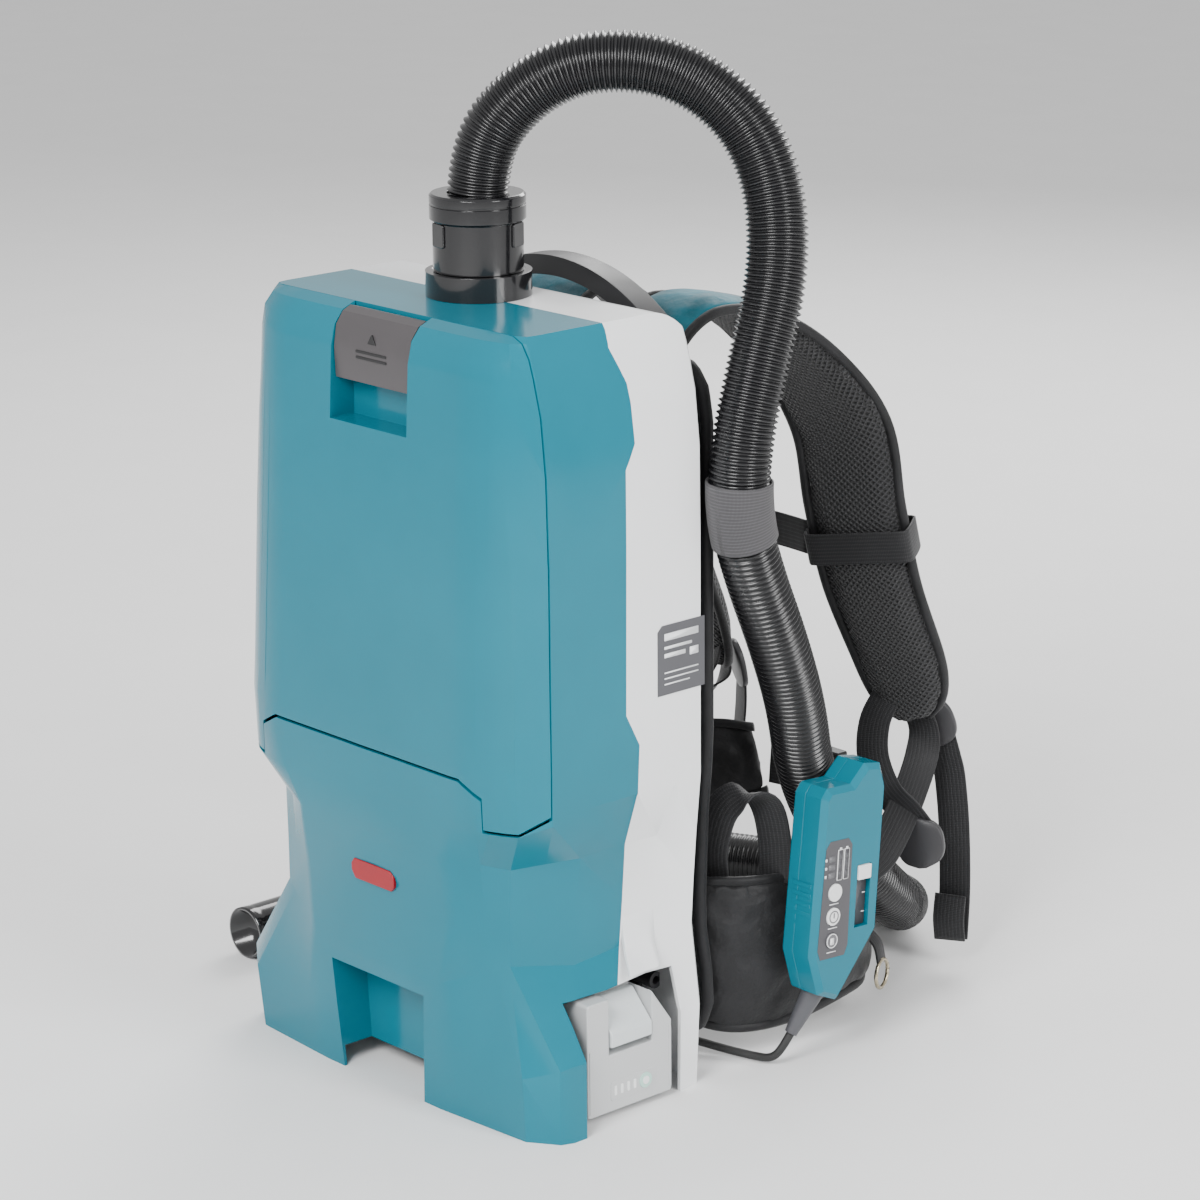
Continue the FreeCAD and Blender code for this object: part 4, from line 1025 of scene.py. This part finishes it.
def make_latch_details():
    """Raised arrow and bars on the latch."""
    marks = (("latch_arrow", [(-4.4, 528.6), (4.4, 528.6), (0, 535.2)], -81.0),
             ("latch_bar_upper", rounded(-16, 16, 521.4, 523.2, 0.6), -81.9),
             ("latch_bar_lower", rounded(-16, 16, 517.4, 519.2, 0.6), -81.9))
    for name, outline, front in marks:
        piece = prism(name, outline, "Y", front, -78.0, BLACK_SATIN, "latch", edge=0.2)


def make_label():
    """Plain bars on the side plate, measured in from its edges."""
    low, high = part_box("rating_plate")
    x, y0, y1, z0, z1 = high.x / MM, low.y / MM, high.y / MM, low.z / MM, high.z / MM
    left, right = y0 + 6, y1 - 6
    bars = [(left, right, z1 - 11, z1 - 6), (left, right - 6, z1 - 17, z1 - 15),
            (left, right - 12, z1 - 23, z1 - 20), (right - 8, right, z1 - 25, z1 - 19.5),
            (left, right, z0 + 15, z0 + 16), (left, right, z0 + 11, z0 + 12),
            (left, right - 8, z0 + 7, z0 + 8)]
    for i, (a, b, c, d) in enumerate(bars):
        outline = rounded(a, b, c, d, min(0.4, (d - c) / 2.2))
        bar = prism("plate_bar_%d" % (i + 1), outline, "X", x - 0.05, x + 0.12, PRINT)


def battery_print(side, name, outline, height, material):
    """A raised piece on the outer face of a battery, which it rides on."""
    face, sunk = 155.0, 0.3
    body = "battery_right" if side == 1 else "battery_left"
    low, high = sorted(((face - sunk) * side, (face + height) * side))
    piece = prism("%s_%s" % (body, name), outline, "X", low, high, material, body, edge=0.25)


def make_battery_details():
    """Plate with lamps and a test button, and guide rails, on both batteries."""
    glow = plastic("lamp_green", (0.42, 0.66, 0.58), 0.3, coat=0.4)
    for side in (1, -1):
        battery_print(side, "plate", rounded(-12, 29, 12.5, 27.5, 2.5), 0.35, BATTERY)
        for i in range(4):
            y = -9 + i * 6
            lamp = rounded(y, y + 2.4, 16.5, 23.5, 0.8)
            battery_print(side, "lamp_%d" % (i + 1), lamp, 0.8, KEY_WHITE)
        battery_print(side, "test_button", disc(20, 20, 5.6), 1.2, glow)
        battery_print(side, "test_ring", disc(20, 20, 3.0), 1.6, KEY_WHITE)
        for i, y in enumerate((-31.5, 42.6)):
            rail = rounded(y, y + 2.0, 8, 54, 0.6)
            battery_print(side, "rail_%d" % (i + 1), rail, 0.5, BATTERY)


def side_surface(y, z):
    """X of the body's right side at y and z, all in millimetres."""
    best = 0.0
    for name in ("rear_housing", "front_housing"):
        hit, place, _, _ = NODES[name].ray_cast(Vector((200, y, z)) * MM, Vector((-1, 0, 0)))
        if hit:
            best = max(best, place.x / MM)
    return best


def make_awnings():
    """Flared lip of the rear housing above each battery."""
    back_y, foot_z, top_z, wall_foot_z = 46.0, 97.5, 134.0, 99.5
    reach, thickness, end_lift = 13.0, 2.2, 3.0
    rows, columns = 14, 18
    outer, inner = [], []
    for r in range(rows + 1):
        down = r / rows
        z = top_z + (foot_z - top_z) * down
        seam_y = np.interp(z, [80, 113, 146], [-1.0, 18.0, 21.0])
        for c in range(columns + 1):
            y = seam_y + (back_y - seam_y) * c / columns
            ends = min(1.0, 3.2 * (back_y - y) / (back_y - seam_y))
            wall = side_surface(y, max(z, wall_foot_z))
            flare = reach * down ** 1.8 * math.sin(ends * math.pi / 2) + 0.15
            height = z + end_lift * down * (1 - ends)
            outer.append((wall + flare, y, height))
            inner.append((wall - 0.8 + max(0.0, flare - thickness), y, height))
    count = len(outer)
    row = columns + 1
    faces = []
    for r in range(rows):
        for c in range(columns):
            k = r * row + c
            faces.append((k, k + row, k + row + 1, k + 1))
            faces.append((count + k + 1, count + k + row + 1, count + k + row, count + k))
    border = (list(range(columns)) + [r * row + columns for r in range(rows)]
              + [rows * row + c for c in range(columns, 0, -1)] + [r * row for r in range(rows, 0, -1)])
    for a, b in zip(border, border[1:] + border[:1]):
        faces.append((a, b, count + b, count + a))
    for side, name in ((1, "right"), (-1, "left")):
        vertices = [Vector((x * side, y, z)) * MM for x, y, z in outer + inner]
        lip = add_object("battery_lip_" + name, vertices, faces, WHITE_GLOSS)
        face_outward(lip)
        finish_edges(lip, 0.0006, angle=40)


def make_cuff_details():
    """Locking tabs on the swivel cuff."""
    low, high = 29.9, 31.9
    upright = Matrix.Rotation(math.pi / 2, 4, "X")
    for i in range(3):
        angle = math.radians(110 + i * 120)
        place = Matrix.Translation((0, 0.014, 0.592)) @ Matrix.Rotation(angle, 4, "Z") @ upright
        tab = prism("cuff_tab_%d" % (i + 1), rounded(-7, 7, -7, 9, 1.5), "Z", low, high, BLACK_GLOSS, "cuff",
                    edge=0.5, place=place)


make_box_details()
make_latch_details()
make_label()
make_battery_details()
make_cuff_details()
make_awnings()
